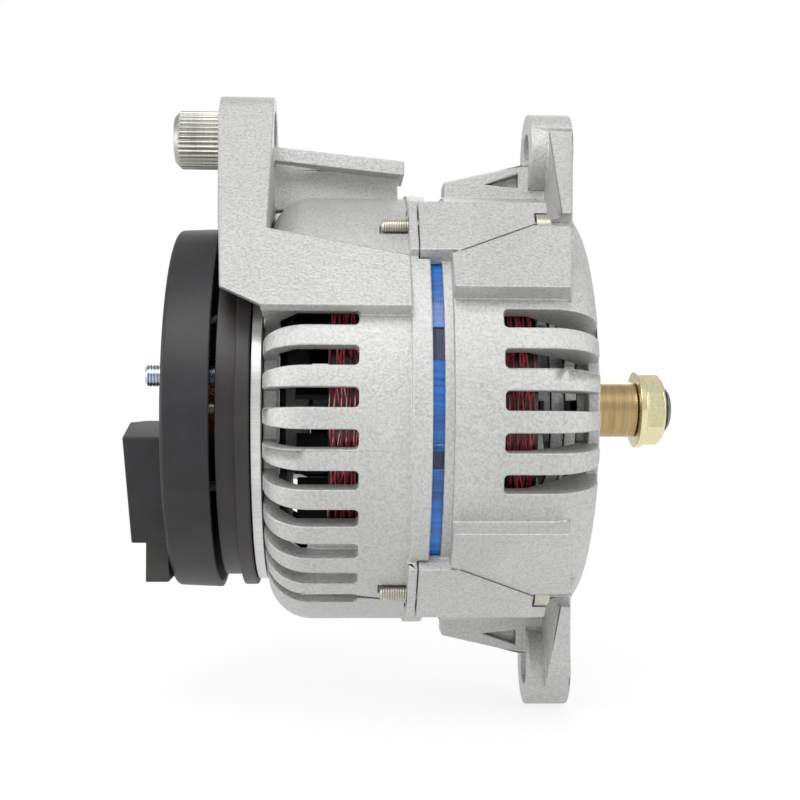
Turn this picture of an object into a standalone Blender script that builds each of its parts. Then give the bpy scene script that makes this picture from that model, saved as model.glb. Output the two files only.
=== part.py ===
"""Heavy vehicle alternator: two cast shields clamp a laminated stator round a claw pole rotor.

The shaft is the X axis, with the drive end at +X, and +Z runs to the upper pair of ears.
The origin is on the shaft, in the plane of the rear faces of the two drive end ears.
"""

import math

import bmesh
import bpy
from mathutils import Matrix, Vector

# Running and fitting clearances
seat_gap = 0.0003
air_gap = 0.0006
overrun = 0.004
weld_distance = 0.00001

# How finely round pieces are divided
shield_steps = 48
cavity_steps = 36
ring_steps = 32
inner_steps = 24
small_steps = 16
bolt_steps = 10
spring_steps = 7
hexagon_sides = 6
corner_steps = 3
shoulder_steps = 5

# Drive end ears, which carry the machine
ear_face_x = 0
ear_thickness = 0.0148
ear_height = 0.0905
ear_radius = 0.0147
ear_bore_radius = 0.0076
ear_collar = 0.0008
ear_arm_setback = 0.0055
ear_arm_draft = 0.0012
arm_prow_x = 0.0172
arm_rake_share = 0.18

# Drive end shield
front_rim_setback = 0.0341
front_radius = 0.0745
front_wall = 0.0055
front_shoulder_x = -0.003
front_corner_run = 0.0165
front_face_inset = 0.0125
front_face_radius = front_radius - front_face_inset
front_face_x = 0.0152
front_hub_radius = 0.0226
front_hub_x = 0.0228
bearing_seat_wall = 0.0044
front_rim_step = 0.0015
front_rim_step_width = 0.003
front_buttress_inset = 0.002
front_buttress_half_width = front_radius - front_buttress_inset
front_buttress_foot_z = 0.0375
front_buttress_tuck = 0.0047
front_buttress_low_z = 0.0475
front_buttress_high_z = 0.0632
front_rib_half_width = 0.0062
front_rib_web_half_width = 0.002
front_rib_tail_x = -0.0312
front_rib_tail_z = 0.0796
front_rib_root_z = 0.0867
front_rib_border = 0.0035

# Lugs and screws that draw the two shields together
lug_angle = math.radians(45)
lug_rise = 0.0033
lug_face_distance = front_radius + lug_rise
lug_near_side = 0.007
lug_far_side = 0.018
lug_reach = 0.0069
lug_tail_x = 0.001
rear_lug_thickness = 0.0029
lug_pocket_gap = 0.0006
bolt_angle = math.radians(51.8)
bolt_radius = 0.0023
bolt_wall = 0.0008
bolt_head_radius = 0.0042
bolt_head_height = 0.0048
bolt_head_seat_x = -0.0035
bolt_head_room = 0.0005
bolt_end_out = 0.0085
bolt_socket_radius = 0.0024
bolt_socket_depth = 0.003

# Cooling slots of both shields, on one angular pitch
slot_pitch = math.radians(10)
slot_width = 0.0060
slot_draft = 0.0006
front_slot_first = math.radians(-17.7)
front_slot_count = 5
front_slot_back_x = -0.0158
front_slot_front_x = 0.0125
front_groove_depth = 0.0045
rear_slot_first = math.radians(-27)
rear_slot_count = 6
rear_slot_front_x = -0.060
rear_slot_back_x = -0.0833
rear_groove_depth = 0.0045
rear_grooves_below = 3
intake_count = 10
intake_inner_radius = 0.0285
intake_outer_inset = 0.0135
intake_outer_radius = front_face_radius - intake_outer_inset
intake_rib = 0.006

# Slip ring end shield
band_width = 0.0036
rear_body_length = 0.0522
rear_proud = 0.0005
rear_radius = front_radius + rear_proud
rear_wall = 0.0055
rear_corner = 0.0145
rear_flange_length = 0.0063
rear_flange_step = 0.0012
rear_hub_radius = 0.0235

# Rear ear, its arch, its buttress and its top flange
rear_ear_height = 0.0946
rear_ear_radius = 0.0154
rear_ear_thickness = 0.019
rear_ear_face_setback = 0.0892
arch_foot_inset = 0.002
arch_half_width = rear_radius - arch_foot_inset
arch_foot_z = 0.0315
arch_heel_z = 0.040
arch_prow_x = -0.1099
arch_rake_share = 0.111
buttress_root_z = 0.0574
buttress_tip_z = 0.0482
flange_tip_x = -0.044
flange_root_z = 0.091
flange_tip_z = 0.086
flange_thickness = 0.005
flange_half_width = 0.012
flange_web_half_width = 0.0035

# Serrated bush that slides in the rear ear
bush_radius = 0.0102
bush_bore_radius = 0.0064
bush_length = 0.034
bush_stand_out = 0.0162
bush_serrations = 36
bush_serration_depth = 0.0006
bush_chamfer = 0.0024
bush_way_gap = 0.0009

# Stator
stack_inset = 0.003
stack_radius = front_radius - stack_inset
stack_depth = 0.0199
stack_bore_radius = stack_radius - stack_depth
stack_into_front = 0.0172
stack_into_rear = 0.020
slot_count = 24
winding_slot_depth = 0.0115
winding_slot_width = 0.0062
winding_slot_gap = 0.0004
winding_slot_lip = 0.001
overhang_front = 0.0135
overhang_rear = 0.0125
overhang_inset = 0.0019
overhang_inner_radius = stack_bore_radius + overhang_inset
overhang_depth = 0.013
overhang_outer_radius = overhang_inner_radius + overhang_depth
overhang_round = 0.003
stack_groove_angle = math.radians(12)
stack_groove_depth = 0.0009
stack_groove_width = 0.0085

# Rotor: shaft, claw poles, field coil and fans
shaft_radius = 0.0085
shaft_core_radius = 0.0115
shaft_tail_radius = 0.0075
shaft_rear_x = -0.1165
shaft_front_x = 0.0524
thread_radius = 0.008
thread_chamfer_radius = 0.0068
thread_bore_radius = 0.003
thread_bore_depth = 0.004
claw_count = 6
claw_disc_thickness = 0.013
claw_thickness = 0.0085
claw_root_half_angle = math.radians(17)
claw_tip_half_angle = math.radians(7)
rotor_front_x = -0.0135
rotor_rear_x = -0.0603
coil_claw_gap = 0.006
coil_outer_radius = stack_bore_radius - air_gap - claw_thickness - coil_claw_gap
coil_flange = 0.002
core_radius = 0.019
fan_disc_thickness = 0.0016
fan_blade_thickness = 0.0016
fan_inset = 0.0031
fan_radius = stack_bore_radius - fan_inset
fan_hub_radius = 0.022
fan_blade_inner_radius = 0.031
fan_blade_count = 11
fan_blade_lean = math.radians(35)
front_fan_blade_height = 0.0135
rear_fan_blade_height = 0.018

# Bearings
front_bearing_radius = 0.0235
front_bearing_width = 0.014
front_bearing_back_x = 0.0052
rear_bearing_radius = 0.0175
rear_bearing_width = 0.011
rear_bearing_front_x = -0.0762
race_thickness = 0.0034
ball_count = 7
cage_width = 0.0022
ball_running_gap = 0.0002
retainer_thickness = 0.002
retainer_radius = 0.0275
retainer_bore_radius = 0.0185

# Drive end of the shaft
sleeve_radius = 0.0098
sleeve_rear_x = 0.0197
sleeve_front_x = 0.0394
nut_flange_radius = 0.0137
nut_flange_thickness = 0.0029
nut_across_flats = 0.022
nut_height = 0.0065

# Slip rings
slip_core_radius = 0.0098
slip_ring_radius = 0.0145
slip_ring_width = 0.0058
slip_ring_spacing = 0.0082
slip_core_rear_x = -0.1152
slip_core_front_x = -0.0935

# Rectifier and regulator under the rear cover
negative_plate_inset = 0.015
negative_plate_radius = rear_radius - negative_plate_inset
negative_plate_thickness = 0.0034
insulator_proud = 0.002
insulator_radius = negative_plate_radius + insulator_proud
insulator_thickness = 0.0044
skirt_inset = 0.0035
skirt_wall = 0.0028
skirt_length = 0.0065
positive_plate_inset = 0.007
positive_plate_radius = insulator_radius - positive_plate_inset
positive_plate_thickness = 0.0034
rectifier_inner_radius = 0.033
rectifier_gap_angle = math.radians(62)
diode_radius = 0.0064
diode_height = 0.0068
diode_circle_inset = 0.011
diode_circle_radius = positive_plate_radius - diode_circle_inset
diode_angles = (math.radians(200), math.radians(270), math.radians(340))

# Brush holder at the top of the slip rings
holder_half_width = 0.0135
holder_height = 0.022
holder_bottom_z = 0.0185
brush_width = 0.0062
brush_length = 0.0042
brush_height = 0.0115
brush_gap = 0.0003
spring_turns = 4
spring_radius = 0.0016
spring_wire_radius = 0.0003

# Rear cover, terminal hood and terminals
cover_inset = 0.0122
cover_radius = rear_radius - cover_inset
cover_draft = 0.0006
cover_face_radius = cover_radius - cover_draft
arch_gap = 0.0027
arch_radius = cover_radius + arch_gap
cover_rear_x = -0.1214
cover_rim_x = -0.1062
cover_wall = 0.0022
cover_corner = 0.0016
hood_rear_x = -0.1366
hood_lean = 0.0036
hood_near_inset = 0.0228
hood_near_y = hood_near_inset - cover_radius
hood_far_y = 0.014
hood_top_z = -0.005
hood_shoulder_width = 0.018
hood_shoulder_y = hood_near_y + hood_shoulder_width
hood_shoulder_drop = 0.0045
hood_bottom_inset = 0.0191
hood_bottom_z = hood_bottom_inset - cover_radius
stud_radius = 0.0035
stud_height = 0.0105
stud_inset = 0.0268
stud_side = cover_radius - stud_inset
stud_stand_out = 0.0077
stud_nut_radius = 0.0065
stud_nut_height = 0.0052
cover_screw_inset = 0.0228
cover_screw_circle = cover_radius - cover_screw_inset
cover_screw_angles = (math.radians(48), math.radians(132), math.radians(180), math.radians(312))
cover_screw_head_radius = 0.0042
cover_screw_head_height = 0.0018
cover_screw_radius = 0.0019
screw_crown_share = 0.85
connector_near_gap = 0.009
connector_near_y = hood_near_y + connector_near_gap
connector_far_y = 0.005
connector_wall = 0.0015
connector_rear_x = -0.1297
connector_front_x = cover_rear_x - seat_gap - seat_gap
connector_drop = 0.0139
connector_bottom_z = hood_bottom_z - connector_drop
connector_tuck = 0.005

# Places worked out from the sizes above
front_rim_x = ear_face_x - front_rim_setback
rear_rim_x = front_rim_x - band_width
rear_wall_x = rear_rim_x - rear_body_length
rear_inner_x = rear_wall_x + rear_wall
stack_front_x = front_rim_x + stack_into_front
stack_rear_x = rear_rim_x - stack_into_rear
winding_front_x = stack_front_x + overhang_front
winding_rear_x = stack_rear_x - overhang_rear
ear_front_x = ear_face_x + ear_thickness
rear_ear_front_x = ear_face_x - rear_ear_face_setback
rear_ear_rear_x = rear_ear_front_x - rear_ear_thickness
lug_start_x = front_rim_x - lug_reach
rear_lug_x = lug_start_x - seat_gap
rear_lug_back_x = rear_lug_x - rear_lug_thickness
bolt_circle_radius = stack_radius + seat_gap + bolt_wall + bolt_radius
bolt_angles = [bolt_angle, math.pi - bolt_angle, math.pi + bolt_angle, 2 * math.pi - bolt_angle]
front_bearing_front_x = front_bearing_back_x + front_bearing_width
rear_bearing_rear_x = rear_bearing_front_x - rear_bearing_width
nut_front_x = sleeve_front_x + nut_flange_thickness + nut_height
negative_front_x = rear_wall_x - seat_gap
negative_rear_x = negative_front_x - negative_plate_thickness
insulator_front_x = negative_rear_x - seat_gap
insulator_rear_x = insulator_front_x - insulator_thickness
positive_front_x = insulator_rear_x - seat_gap
positive_rear_x = positive_front_x - positive_plate_thickness

for old in list(bpy.data.objects):
    bpy.data.objects.remove(old, do_unlink=True)

model = bpy.data.collections.new("vehicle_alternator")
cutters = bpy.data.collections.new("cutters")
bpy.context.scene.collection.children.link(model)
bpy.context.scene.collection.children.link(cutters)


def material(name, colour, roughness, metallic):
    """A plain finish of one colour."""
    made = bpy.data.materials.new(name)
    made.use_nodes = True
    shader = made.node_tree.nodes["Principled BSDF"]
    shader.inputs["Base Color"].default_value = (*colour, 1)
    shader.inputs["Roughness"].default_value = roughness
    shader.inputs["Metallic"].default_value = metallic
    made.diffuse_color = (*colour, 1)
    return made


cast_aluminium = material("cast_aluminium", (0.62, 0.62, 0.61), 0.55, 0.85)
machined_steel = material("machined_steel", (0.55, 0.55, 0.56), 0.35, 1)
dark_steel = material("dark_steel", (0.13, 0.13, 0.14), 0.45, 0.9)
blue_lacquer = material("blue_lacquer", (0.01, 0.11, 0.38), 0.4, 0)
copper_lacquer = material("copper_lacquer", (0.16, 0.02, 0.02), 0.35, 0.3)
copper = material("copper", (0.7, 0.33, 0.2), 0.3, 1)
black_plastic = material("black_plastic", (0.017, 0.015, 0.02), 0.5, 0)
carbon = material("carbon", (0.05, 0.05, 0.05), 0.6, 0.1)
yellow_zinc = material("yellow_zinc", (0.62, 0.55, 0.24), 0.3, 0.9)
bronze_sleeve = material("bronze_sleeve", (0.38, 0.24, 0.1), 0.4, 0.8)
blue_zinc = material("blue_zinc", (0.55, 0.62, 0.7), 0.3, 1)


def place(name, mesh, finish, parent=None):
    """Puts a finished mesh in the model as one named piece."""
    piece = bpy.data.objects.new(name, mesh)
    model.objects.link(piece)
    mesh.materials.clear()
    mesh.materials.append(finish)
    piece.parent = parent
    return piece


def as_cutter(piece):
    piece.hide_render = True
    piece.display_type = "WIRE"
    return piece


def helper(name, mesh):
    """A shape that only cuts or joins, kept with the cutters."""
    piece = bpy.data.objects.new(name, mesh)
    cutters.objects.link(piece)
    return as_cutter(piece)


def finished(piece):
    """The mesh of a piece with all its modifiers applied, and the piece removed."""
    bpy.context.view_layer.update()
    graph = bpy.context.evaluated_depsgraph_get()
    mesh = bpy.data.meshes.new_from_object(piece.evaluated_get(graph))
    mesh.transform(piece.matrix_world)
    bpy.data.objects.remove(piece, do_unlink=True)
    return mesh


def turned(outline, steps):
    """Turns an outline of (x, radius) points about the shaft. Its outer side runs from front to rear."""
    mesh = bpy.data.meshes.new("outline")
    points = [(x, radius, 0) for x, radius in outline]
    closed = outline[0][1] > 0
    edges = [(index, index + 1) for index in range(len(points) - 1)]
    if closed:
        edges.append((len(points) - 1, 0))
    mesh.from_pydata(points, edges, [])
    piece = helper("turning", mesh)
    screw = piece.modifiers.new("turn", "SCREW")
    screw.axis = "X"
    screw.steps = steps
    screw.render_steps = steps
    screw.use_merge_vertices = True
    screw.merge_threshold = weld_distance
    return finished(piece)


def tube(rear_x, front_x, outer, inner, steps):
    return turned([(front_x, outer), (rear_x, outer), (rear_x, inner), (front_x, inner)], steps)


def rod(rear_x, front_x, radius, steps):
    return turned([(front_x, 0), (front_x, radius), (rear_x, radius), (rear_x, 0)], steps)


def block(low, high):
    """A box between two corners."""
    shape = bmesh.new()
    bmesh.ops.create_cube(shape, size=1)
    size = [top - bottom for bottom, top in zip(low, high)]
    middle = [(top + bottom) / 2 for bottom, top in zip(low, high)]
    bmesh.ops.scale(shape, vec=size, verts=shape.verts)
    bmesh.ops.translate(shape, vec=middle, verts=shape.verts)
    mesh = bpy.data.meshes.new("block")
    shape.to_mesh(mesh)
    shape.free()
    return mesh


def extruded(outline, start, end, axis):
    """Draws out a closed flat outline between two places along an axis.

    Along X its points are (y, z), along Y they are (x, z), and along Z they are (x, y).
    """
    shape = bmesh.new()
    if axis == "X":
        corners = [shape.verts.new((start, first, second)) for first, second in outline]
        travel = Vector((end - start, 0, 0))
    elif axis == "Y":
        corners = [shape.verts.new((first, start, second)) for first, second in outline]
        travel = Vector((0, end - start, 0))
    else:
        corners = [shape.verts.new((first, second, start)) for first, second in outline]
        travel = Vector((0, 0, end - start))
    face = shape.faces.new(corners)
    drawn = bmesh.ops.extrude_face_region(shape, geom=[face])["geom"]
    moved = [item for item in drawn if isinstance(item, bmesh.types.BMVert)]
    bmesh.ops.translate(shape, vec=travel, verts=moved)
    bmesh.ops.recalc_face_normals(shape, faces=shape.faces)
    mesh = bpy.data.meshes.new("extrusion")
    shape.to_mesh(mesh)
    shape.free()
    return mesh


def ring_points(centre_y, centre_z, radius, first, last, count):
    """Points of an arc in the plane across the shaft, its ends included."""
    found = []
    for index in range(count + 1):
        angle = first + (last - first) * index / count
        found.append((centre_y + radius * math.cos(angle), centre_z + radius * math.sin(angle)))
    return found


def turn_about_shaft(mesh, angle):
    """Turns a mesh about the shaft, from +Y towards +Z."""
    mesh.transform(Matrix.Rotation(angle, 4, "X"))
    return mesh


def shifted(mesh, x=0, y=0, z=0):
    mesh.transform(Matrix.Translation((x, y, z)))
    return mesh


def upside_down(mesh):
    """A copy turned half round the shaft."""
    other = mesh.copy()
    return turn_about_shaft(other, math.pi)


def gathered(meshes):
    """Several meshes that don't touch, as one mesh for a single cut."""
    shape = bmesh.new()
    for mesh in meshes:
        shape.from_mesh(mesh)
    result = bpy.data.meshes.new("gathered")
    shape.to_mesh(result)
    shape.free()
    return result


def combined(mesh, other, operation):
    """One Boolean step between two meshes."""
    piece = helper("base", mesh)
    tool = helper("tool", other)
    step = piece.modifiers.new("step", "BOOLEAN")
    step.operation = operation
    step.solver = "EXACT"
    step.object = tool
    result = finished(piece)
    bpy.data.objects.remove(tool, do_unlink=True)
    shape = bmesh.new()
    shape.from_mesh(result)
    bmesh.ops.remove_doubles(shape, verts=shape.verts, dist=weld_distance)
    bmesh.ops.dissolve_degenerate(shape, edges=shape.edges, dist=weld_distance)
    shape.to_mesh(result)
    shape.free()
    return result


def joined(mesh, *others):
    for other in others:
        mesh = combined(mesh, other, "UNION")
    return mesh


def cut(mesh, *others):
    for other in others:
        mesh = combined(mesh, other, "DIFFERENCE")
    return mesh


def shared(mesh, other):
    return combined(mesh, other, "INTERSECT")


def smooth(mesh):
    """Shades round faces smooth and keeps real corners sharp."""
    mesh.shade_smooth()
    mesh.set_sharp_from_angle(angle=math.radians(32))
    return mesh


def tangent_point(centre_z, radius, side, foot_z):
    """Where a straight line from a foot point meets the upper side of an ear's rim, at +Y."""
    down = foot_z - centre_z
    reach = math.hypot(side, down)
    angle = math.atan2(down, side) + math.acos(radius / reach)
    return angle


def ear_frame(centre_z, radius, half_width, foot_z):
    """An A shaped frame: an ear's round top, with straight sides down to two feet."""
    angle = tangent_point(centre_z, radius, half_width, foot_z)
    top = ring_points(0, centre_z, radius, angle, math.pi - angle, 2 * corner_steps)
    return [(half_width, foot_z), *top, (-half_width, foot_z)]


def sector_cutters(first, count, low_x, high_x, inner, outer, width):
    """Radial slots of even width on the two flanks of a shield, at one angular pitch."""
    made = []
    for index in range(count):
        angle = first + slot_pitch * index
        for turned_to in (angle, math.pi - angle):
            bar = block((low_x, inner, -width / 2), (high_x, outer, width / 2))
            made.append(turn_about_shaft(bar, turned_to))
    return gathered(made)


def lug(low_x, high_x, angle, grow=0):
    """One block on the rim of a shield that a through bolt passes. It lies mostly towards the ears."""
    sides = (-lug_near_side - grow, lug_far_side + grow)
    if math.tan(angle) < 0:
        sides = (-lug_far_side - grow, lug_near_side + grow)
    mesh = block((low_x, stack_radius - overrun, sides[0]), (high_x, lug_face_distance + grow, sides[1]))
    return turn_about_shaft(mesh, angle)


lug_angles = [lug_angle, math.pi - lug_angle, math.pi + lug_angle, 2 * math.pi - lug_angle]


def at_bolt(mesh, angle):
    """Sets a mesh that stands on the shaft on the circle of the through bolts."""
    return turn_about_shaft(shifted(mesh, y=bolt_circle_radius), angle)


def bolt_way(low_x, high_x, radius, steps=bolt_steps):
    """A round hole on the axis of each through bolt."""
    return gathered([at_bolt(rod(low_x, high_x, radius, steps), angle) for angle in bolt_angles])


def front_outer(radius_drop):
    """Outer form of the drive end shield. A drop gives the floor of its grooves."""
    side = front_radius - radius_drop
    shoulder = []
    for index in range(shoulder_steps + 1):
        angle = math.pi / 2 * (1 - index / shoulder_steps)
        back = front_corner_run * (1 - math.sin(angle))
        shoulder.append((front_face_x - radius_drop - back, side - front_face_inset * (1 - math.cos(angle))))
    return turned(
        [
            (front_hub_x - radius_drop, 0),
            (front_hub_x - radius_drop, front_hub_radius),
            *shoulder,
            (front_rim_x + front_rim_step_width, side),
            (front_rim_x + front_rim_step_width, side - front_rim_step + radius_drop / 2),
            (front_rim_x, side - front_rim_step + radius_drop / 2),
            (front_rim_x, 0),
        ],
        shield_steps,
    )


def front_inner():
    """The hollow of the drive end shield: stator seat, winding room and bearing seat."""
    room = front_radius - front_wall
    shoulder_room = front_face_radius - front_wall / 2
    hub_back_x = front_bearing_back_x
    hub_wall = front_bearing_radius + bearing_seat_wall
    return turned(
        [
            (front_hub_x + overrun, 0),
            (front_hub_x + overrun, sleeve_radius + seat_gap + seat_gap),
            (front_bearing_front_x + seat_gap, sleeve_radius + seat_gap + seat_gap),
            (front_bearing_front_x + seat_gap, front_bearing_radius + seat_gap),
            (hub_back_x, front_bearing_radius + seat_gap),
            (hub_back_x, hub_wall),
            (front_face_x - front_wall, hub_wall),
            (front_face_x - front_wall, shoulder_room - front_wall),
            (front_shoulder_x + front_wall, shoulder_room + front_wall / 2),
            (front_shoulder_x - front_wall, room),
            (stack_front_x + seat_gap, room),
            (stack_front_x + seat_gap, stack_radius + seat_gap),
            (front_rim_x - lug_reach - overrun, stack_radius + seat_gap),
            (front_rim_x - lug_reach - overrun, 0),
        ],
        cavity_steps,
    )


def front_arm():
    """One ear with its arm, its buttress down to the shield and its central rib, for the upper side."""
    foot = (front_buttress_half_width, front_buttress_foot_z)
    frame = ear_frame(ear_height, ear_radius - ear_collar, *foot)
    tuck_y = front_buttress_half_width - front_buttress_tuck * 2
    tuck_z = front_buttress_foot_z - front_buttress_tuck
    outline = [(tuck_y, tuck_z), *frame, (-tuck_y, tuck_z)]
    arm = extruded(outline, front_rim_x + front_rim_step_width, ear_front_x - ear_collar, "X")
    slope_run = ear_arm_setback - front_rim_x
    slope_rise = front_buttress_high_z - front_buttress_low_z
    back_x = front_rim_x - overrun
    back_z = front_buttress_low_z - overrun * slope_rise / slope_run
    ceiling = ear_height + ear_radius + overrun
    scrap = extruded(
        [
            (back_x, back_z),
            (ear_arm_setback, front_buttress_high_z),
            (ear_arm_setback + ear_arm_draft, ceiling),
            (back_x, ceiling),
        ],
        -front_radius,
        front_radius,
        "Y",
    )
    prow = [
        (arm_prow_x, 0),
        (arm_prow_x - arm_rake_share * lug_face_distance, lug_face_distance),
        (ear_front_x + overrun, lug_face_distance),
        (ear_front_x + overrun, -lug_face_distance),
        (arm_prow_x - arm_rake_share * lug_face_distance, -lug_face_distance),
    ]
    arm = cut(arm, scrap, extruded(prow, 0, ceiling, "Z"))
    boss = shifted(rod(ear_face_x, ear_front_x, ear_radius, small_steps + small_steps), z=ear_height)
    rib_foot = stack_radius
    rib_outline = [
        (front_rib_tail_x, rib_foot),
        (ear_arm_setback + ear_arm_draft, rib_foot),
        (ear_arm_setback + ear_arm_draft, front_rib_root_z + front_rib_border),
        (ear_face_x, front_rib_root_z),
        (front_rib_tail_x, front_rib_tail_z),
    ]
    rib = extruded(rib_outline, -front_rib_half_width, front_rib_half_width, "Y")
    pocket_tip_x = (front_rib_tail_x + ear_face_x) / 2
    pocket_outline = [
        (pocket_tip_x, front_rib_tail_z),
        (ear_face_x - front_rib_border, front_rib_tail_z - front_rib_border / 2),
        (ear_face_x - front_rib_border, front_rib_root_z - front_rib_border),
    ]
    near = extruded(pocket_outline, -front_rib_half_width - overrun, -front_rib_web_half_width, "Y")
    far = extruded(pocket_outline, front_rib_web_half_width, front_rib_half_width + overrun, "Y")
    rib = cut(rib, gathered([near, far]))
    return joined(arm, boss, rib)


def make_front_housing():
    """Drive end shield: a drum with slots, four lugs, two ears with buttresses and a bearing hub."""
    arm = front_arm()
    body = joined(front_outer(0), arm, upside_down(arm))
    lugs = gathered([lug(lug_start_x, lug_tail_x, angle) for angle in lug_angles])
    body = joined(body, lugs)
    grooves = sector_cutters(
        front_slot_first,
        front_slot_count,
        front_slot_back_x - slot_draft,
        front_hub_x,
        front_face_radius - front_wall,
        front_radius + overrun,
        slot_width + slot_draft,
    )
    slots = sector_cutters(
        front_slot_first,
        front_slot_count,
        front_slot_back_x,
        front_slot_front_x,
        front_face_radius - front_wall - front_wall,
        front_radius + overrun,
        slot_width,
    )
    body = cut(body, cut(grooves, front_outer(front_groove_depth)), slots, front_inner())
    ear_hole = shifted(rod(-overrun, ear_front_x + overrun, ear_bore_radius, small_steps), z=ear_height)
    shank_way = bolt_way(lug_start_x - overrun, front_face_x + overrun, bolt_radius + seat_gap)
    head_room_radius = bolt_head_radius + bolt_head_room
    head_way = bolt_way(bolt_head_seat_x, front_face_x + overrun, head_room_radius, small_steps)
    body = cut(body, gathered([ear_hole, upside_down(ear_hole)]), shank_way, head_way)
    intakes = []
    for index in range(intake_count):
        angle = 2 * math.pi * (index + 0.5) / intake_count
        half_low = math.pi * intake_inner_radius / intake_count - intake_rib / 2
        half_high = math.pi * intake_outer_radius / intake_count - intake_rib / 2
        outline = [
            (intake_inner_radius, -half_low),
            (intake_outer_radius, -half_high),
            (intake_outer_radius, half_high),
            (intake_inner_radius, half_low),
        ]
        window = extruded(outline, front_face_x - front_wall - overrun, front_hub_x + overrun, "X")
        intakes.append(turn_about_shaft(window, angle))
    body = cut(body, gathered(intakes))
    return place("front_housing", smooth(body), cast_aluminium)


make_front_housing()


def rear_outer(radius_drop):
    """Outer form of the slip ring end shield, with its rounded rear corner. A drop gives its groove floor."""
    side = rear_radius - radius_drop
    back_x = rear_wall_x + radius_drop
    corner = []
    for index in range(corner_steps + 1):
        angle = math.pi / 2 * index / corner_steps
        along = rear_corner * (1 - math.sin(angle))
        corner.append((back_x + along, side - rear_corner * (1 - math.cos(angle))))
    corner.reverse()
    corner = [(x, radius) for x, radius in corner if x <= back_x + rear_corner]
    corner.sort(reverse=True)
    flange_x = rear_rim_x - rear_flange_length
    return turned(
        [
            (rear_rim_x, 0),
            (rear_rim_x, side),
            (flange_x, side),
            (flange_x, side - rear_flange_step),
            *[(x, radius - rear_flange_step) for x, radius in corner],
            (back_x, 0),
        ],
        shield_steps,
    )


def rear_inner():
    """The hollow of the slip ring end shield: stator seat, winding room, bearing seat and shaft hole."""
    room = rear_radius - rear_wall - rear_flange_step
    return turned(
        [
            (rear_rim_x + overrun, 0),
            (rear_rim_x + overrun, stack_radius + seat_gap),
            (stack_rear_x - seat_gap, stack_radius + seat_gap),
            (stack_rear_x - seat_gap, room),
            (rear_inner_x + rear_wall, room),
            (rear_inner_x, room - rear_wall),
            (rear_inner_x, rear_hub_radius),
            (rear_bearing_front_x, rear_hub_radius),
            (rear_bearing_front_x, rear_bearing_radius + seat_gap),
            (rear_bearing_rear_x - seat_gap, rear_bearing_radius + seat_gap),
            (rear_bearing_rear_x - seat_gap, slip_ring_radius),
            (rear_wall_x - overrun, slip_ring_radius),
            (rear_wall_x - overrun, 0),
        ],
        cavity_steps,
    )


def rear_arch():
    """The rear ear with its arch over the cover, its forward buttress and its top flange."""
    frame = ear_frame(rear_ear_height, rear_ear_radius, arch_half_width, arch_foot_z)
    tuck_y = arch_half_width - rear_corner / 2
    tuck_z = arch_foot_z - front_buttress_tuck
    outline = [(tuck_y, tuck_z), *frame, (-tuck_y, tuck_z)]
    flange_x = rear_rim_x - rear_flange_length
    body = extruded(outline, rear_ear_rear_x, flange_x, "X")
    run = flange_x - rear_ear_front_x
    rise = buttress_tip_z - buttress_root_z
    end_x = flange_x + overrun
    ceiling = rear_ear_height + rear_ear_radius + overrun
    above = extruded(
        [
            (rear_ear_front_x, buttress_root_z),
            (end_x, buttress_root_z + rise * (end_x - rear_ear_front_x) / run),
            (end_x, ceiling),
            (rear_ear_front_x, ceiling),
        ],
        -rear_radius,
        rear_radius,
        "Y",
    )
    heel_run = rear_wall_x - rear_ear_rear_x
    heel_rise = arch_foot_z - arch_heel_z
    low_x = rear_ear_rear_x - overrun
    below = extruded(
        [
            (low_x, tuck_z - overrun),
            (rear_wall_x, tuck_z - overrun),
            (rear_wall_x, arch_foot_z),
            (low_x, arch_heel_z - heel_rise * overrun / heel_run),
        ],
        -rear_radius - overrun,
        rear_radius + overrun,
        "Y",
    )
    opening = rod(rear_ear_rear_x - overrun, rear_wall_x + rear_wall / 2, arch_radius, shield_steps)
    reach = lug_face_distance + overrun
    prow = [
        (arch_prow_x, 0),
        (arch_prow_x + arch_rake_share * reach, reach),
        (rear_ear_rear_x - overrun, reach),
        (rear_ear_rear_x - overrun, -reach),
        (arch_prow_x + arch_rake_share * reach, -reach),
    ]
    body = cut(body, above, below, opening, extruded(prow, 0, ceiling, "Z"))
    flange_foot = rear_ear_height - rear_ear_radius
    top = extruded(
        [
            (rear_ear_front_x - overrun, flange_root_z - flange_thickness),
            (flange_tip_x, flange_tip_z - flange_thickness),
            (flange_tip_x, flange_tip_z),
            (rear_ear_front_x - overrun, flange_root_z),
        ],
        -flange_half_width,
        flange_half_width,
        "Y",
    )
    web = extruded(
        [
            (rear_ear_front_x - overrun / 2, rear_radius - rear_wall),
            (flange_tip_x - overrun / 2, rear_radius - rear_wall),
            (flange_tip_x - overrun / 2, flange_tip_z - flange_thickness / 2),
            (rear_ear_front_x - overrun / 2, flange_foot + flange_thickness),
        ],
        -flange_web_half_width,
        flange_web_half_width,
        "Y",
    )
    way_radius = bush_radius + bush_way_gap
    way_start_x = rear_ear_front_x - overrun - overrun
    way = rod(way_start_x, flange_tip_x + overrun, way_radius, ring_steps)
    web_and_top = cut(joined(top, web), shifted(way, z=rear_ear_height))
    bore_span = (rear_ear_rear_x - overrun, rear_ear_front_x + overrun)
    bush_bore = rod(*bore_span, bush_radius + seat_gap, ring_steps)
    return cut(joined(body, web_and_top), shifted(bush_bore, z=rear_ear_height))


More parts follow.
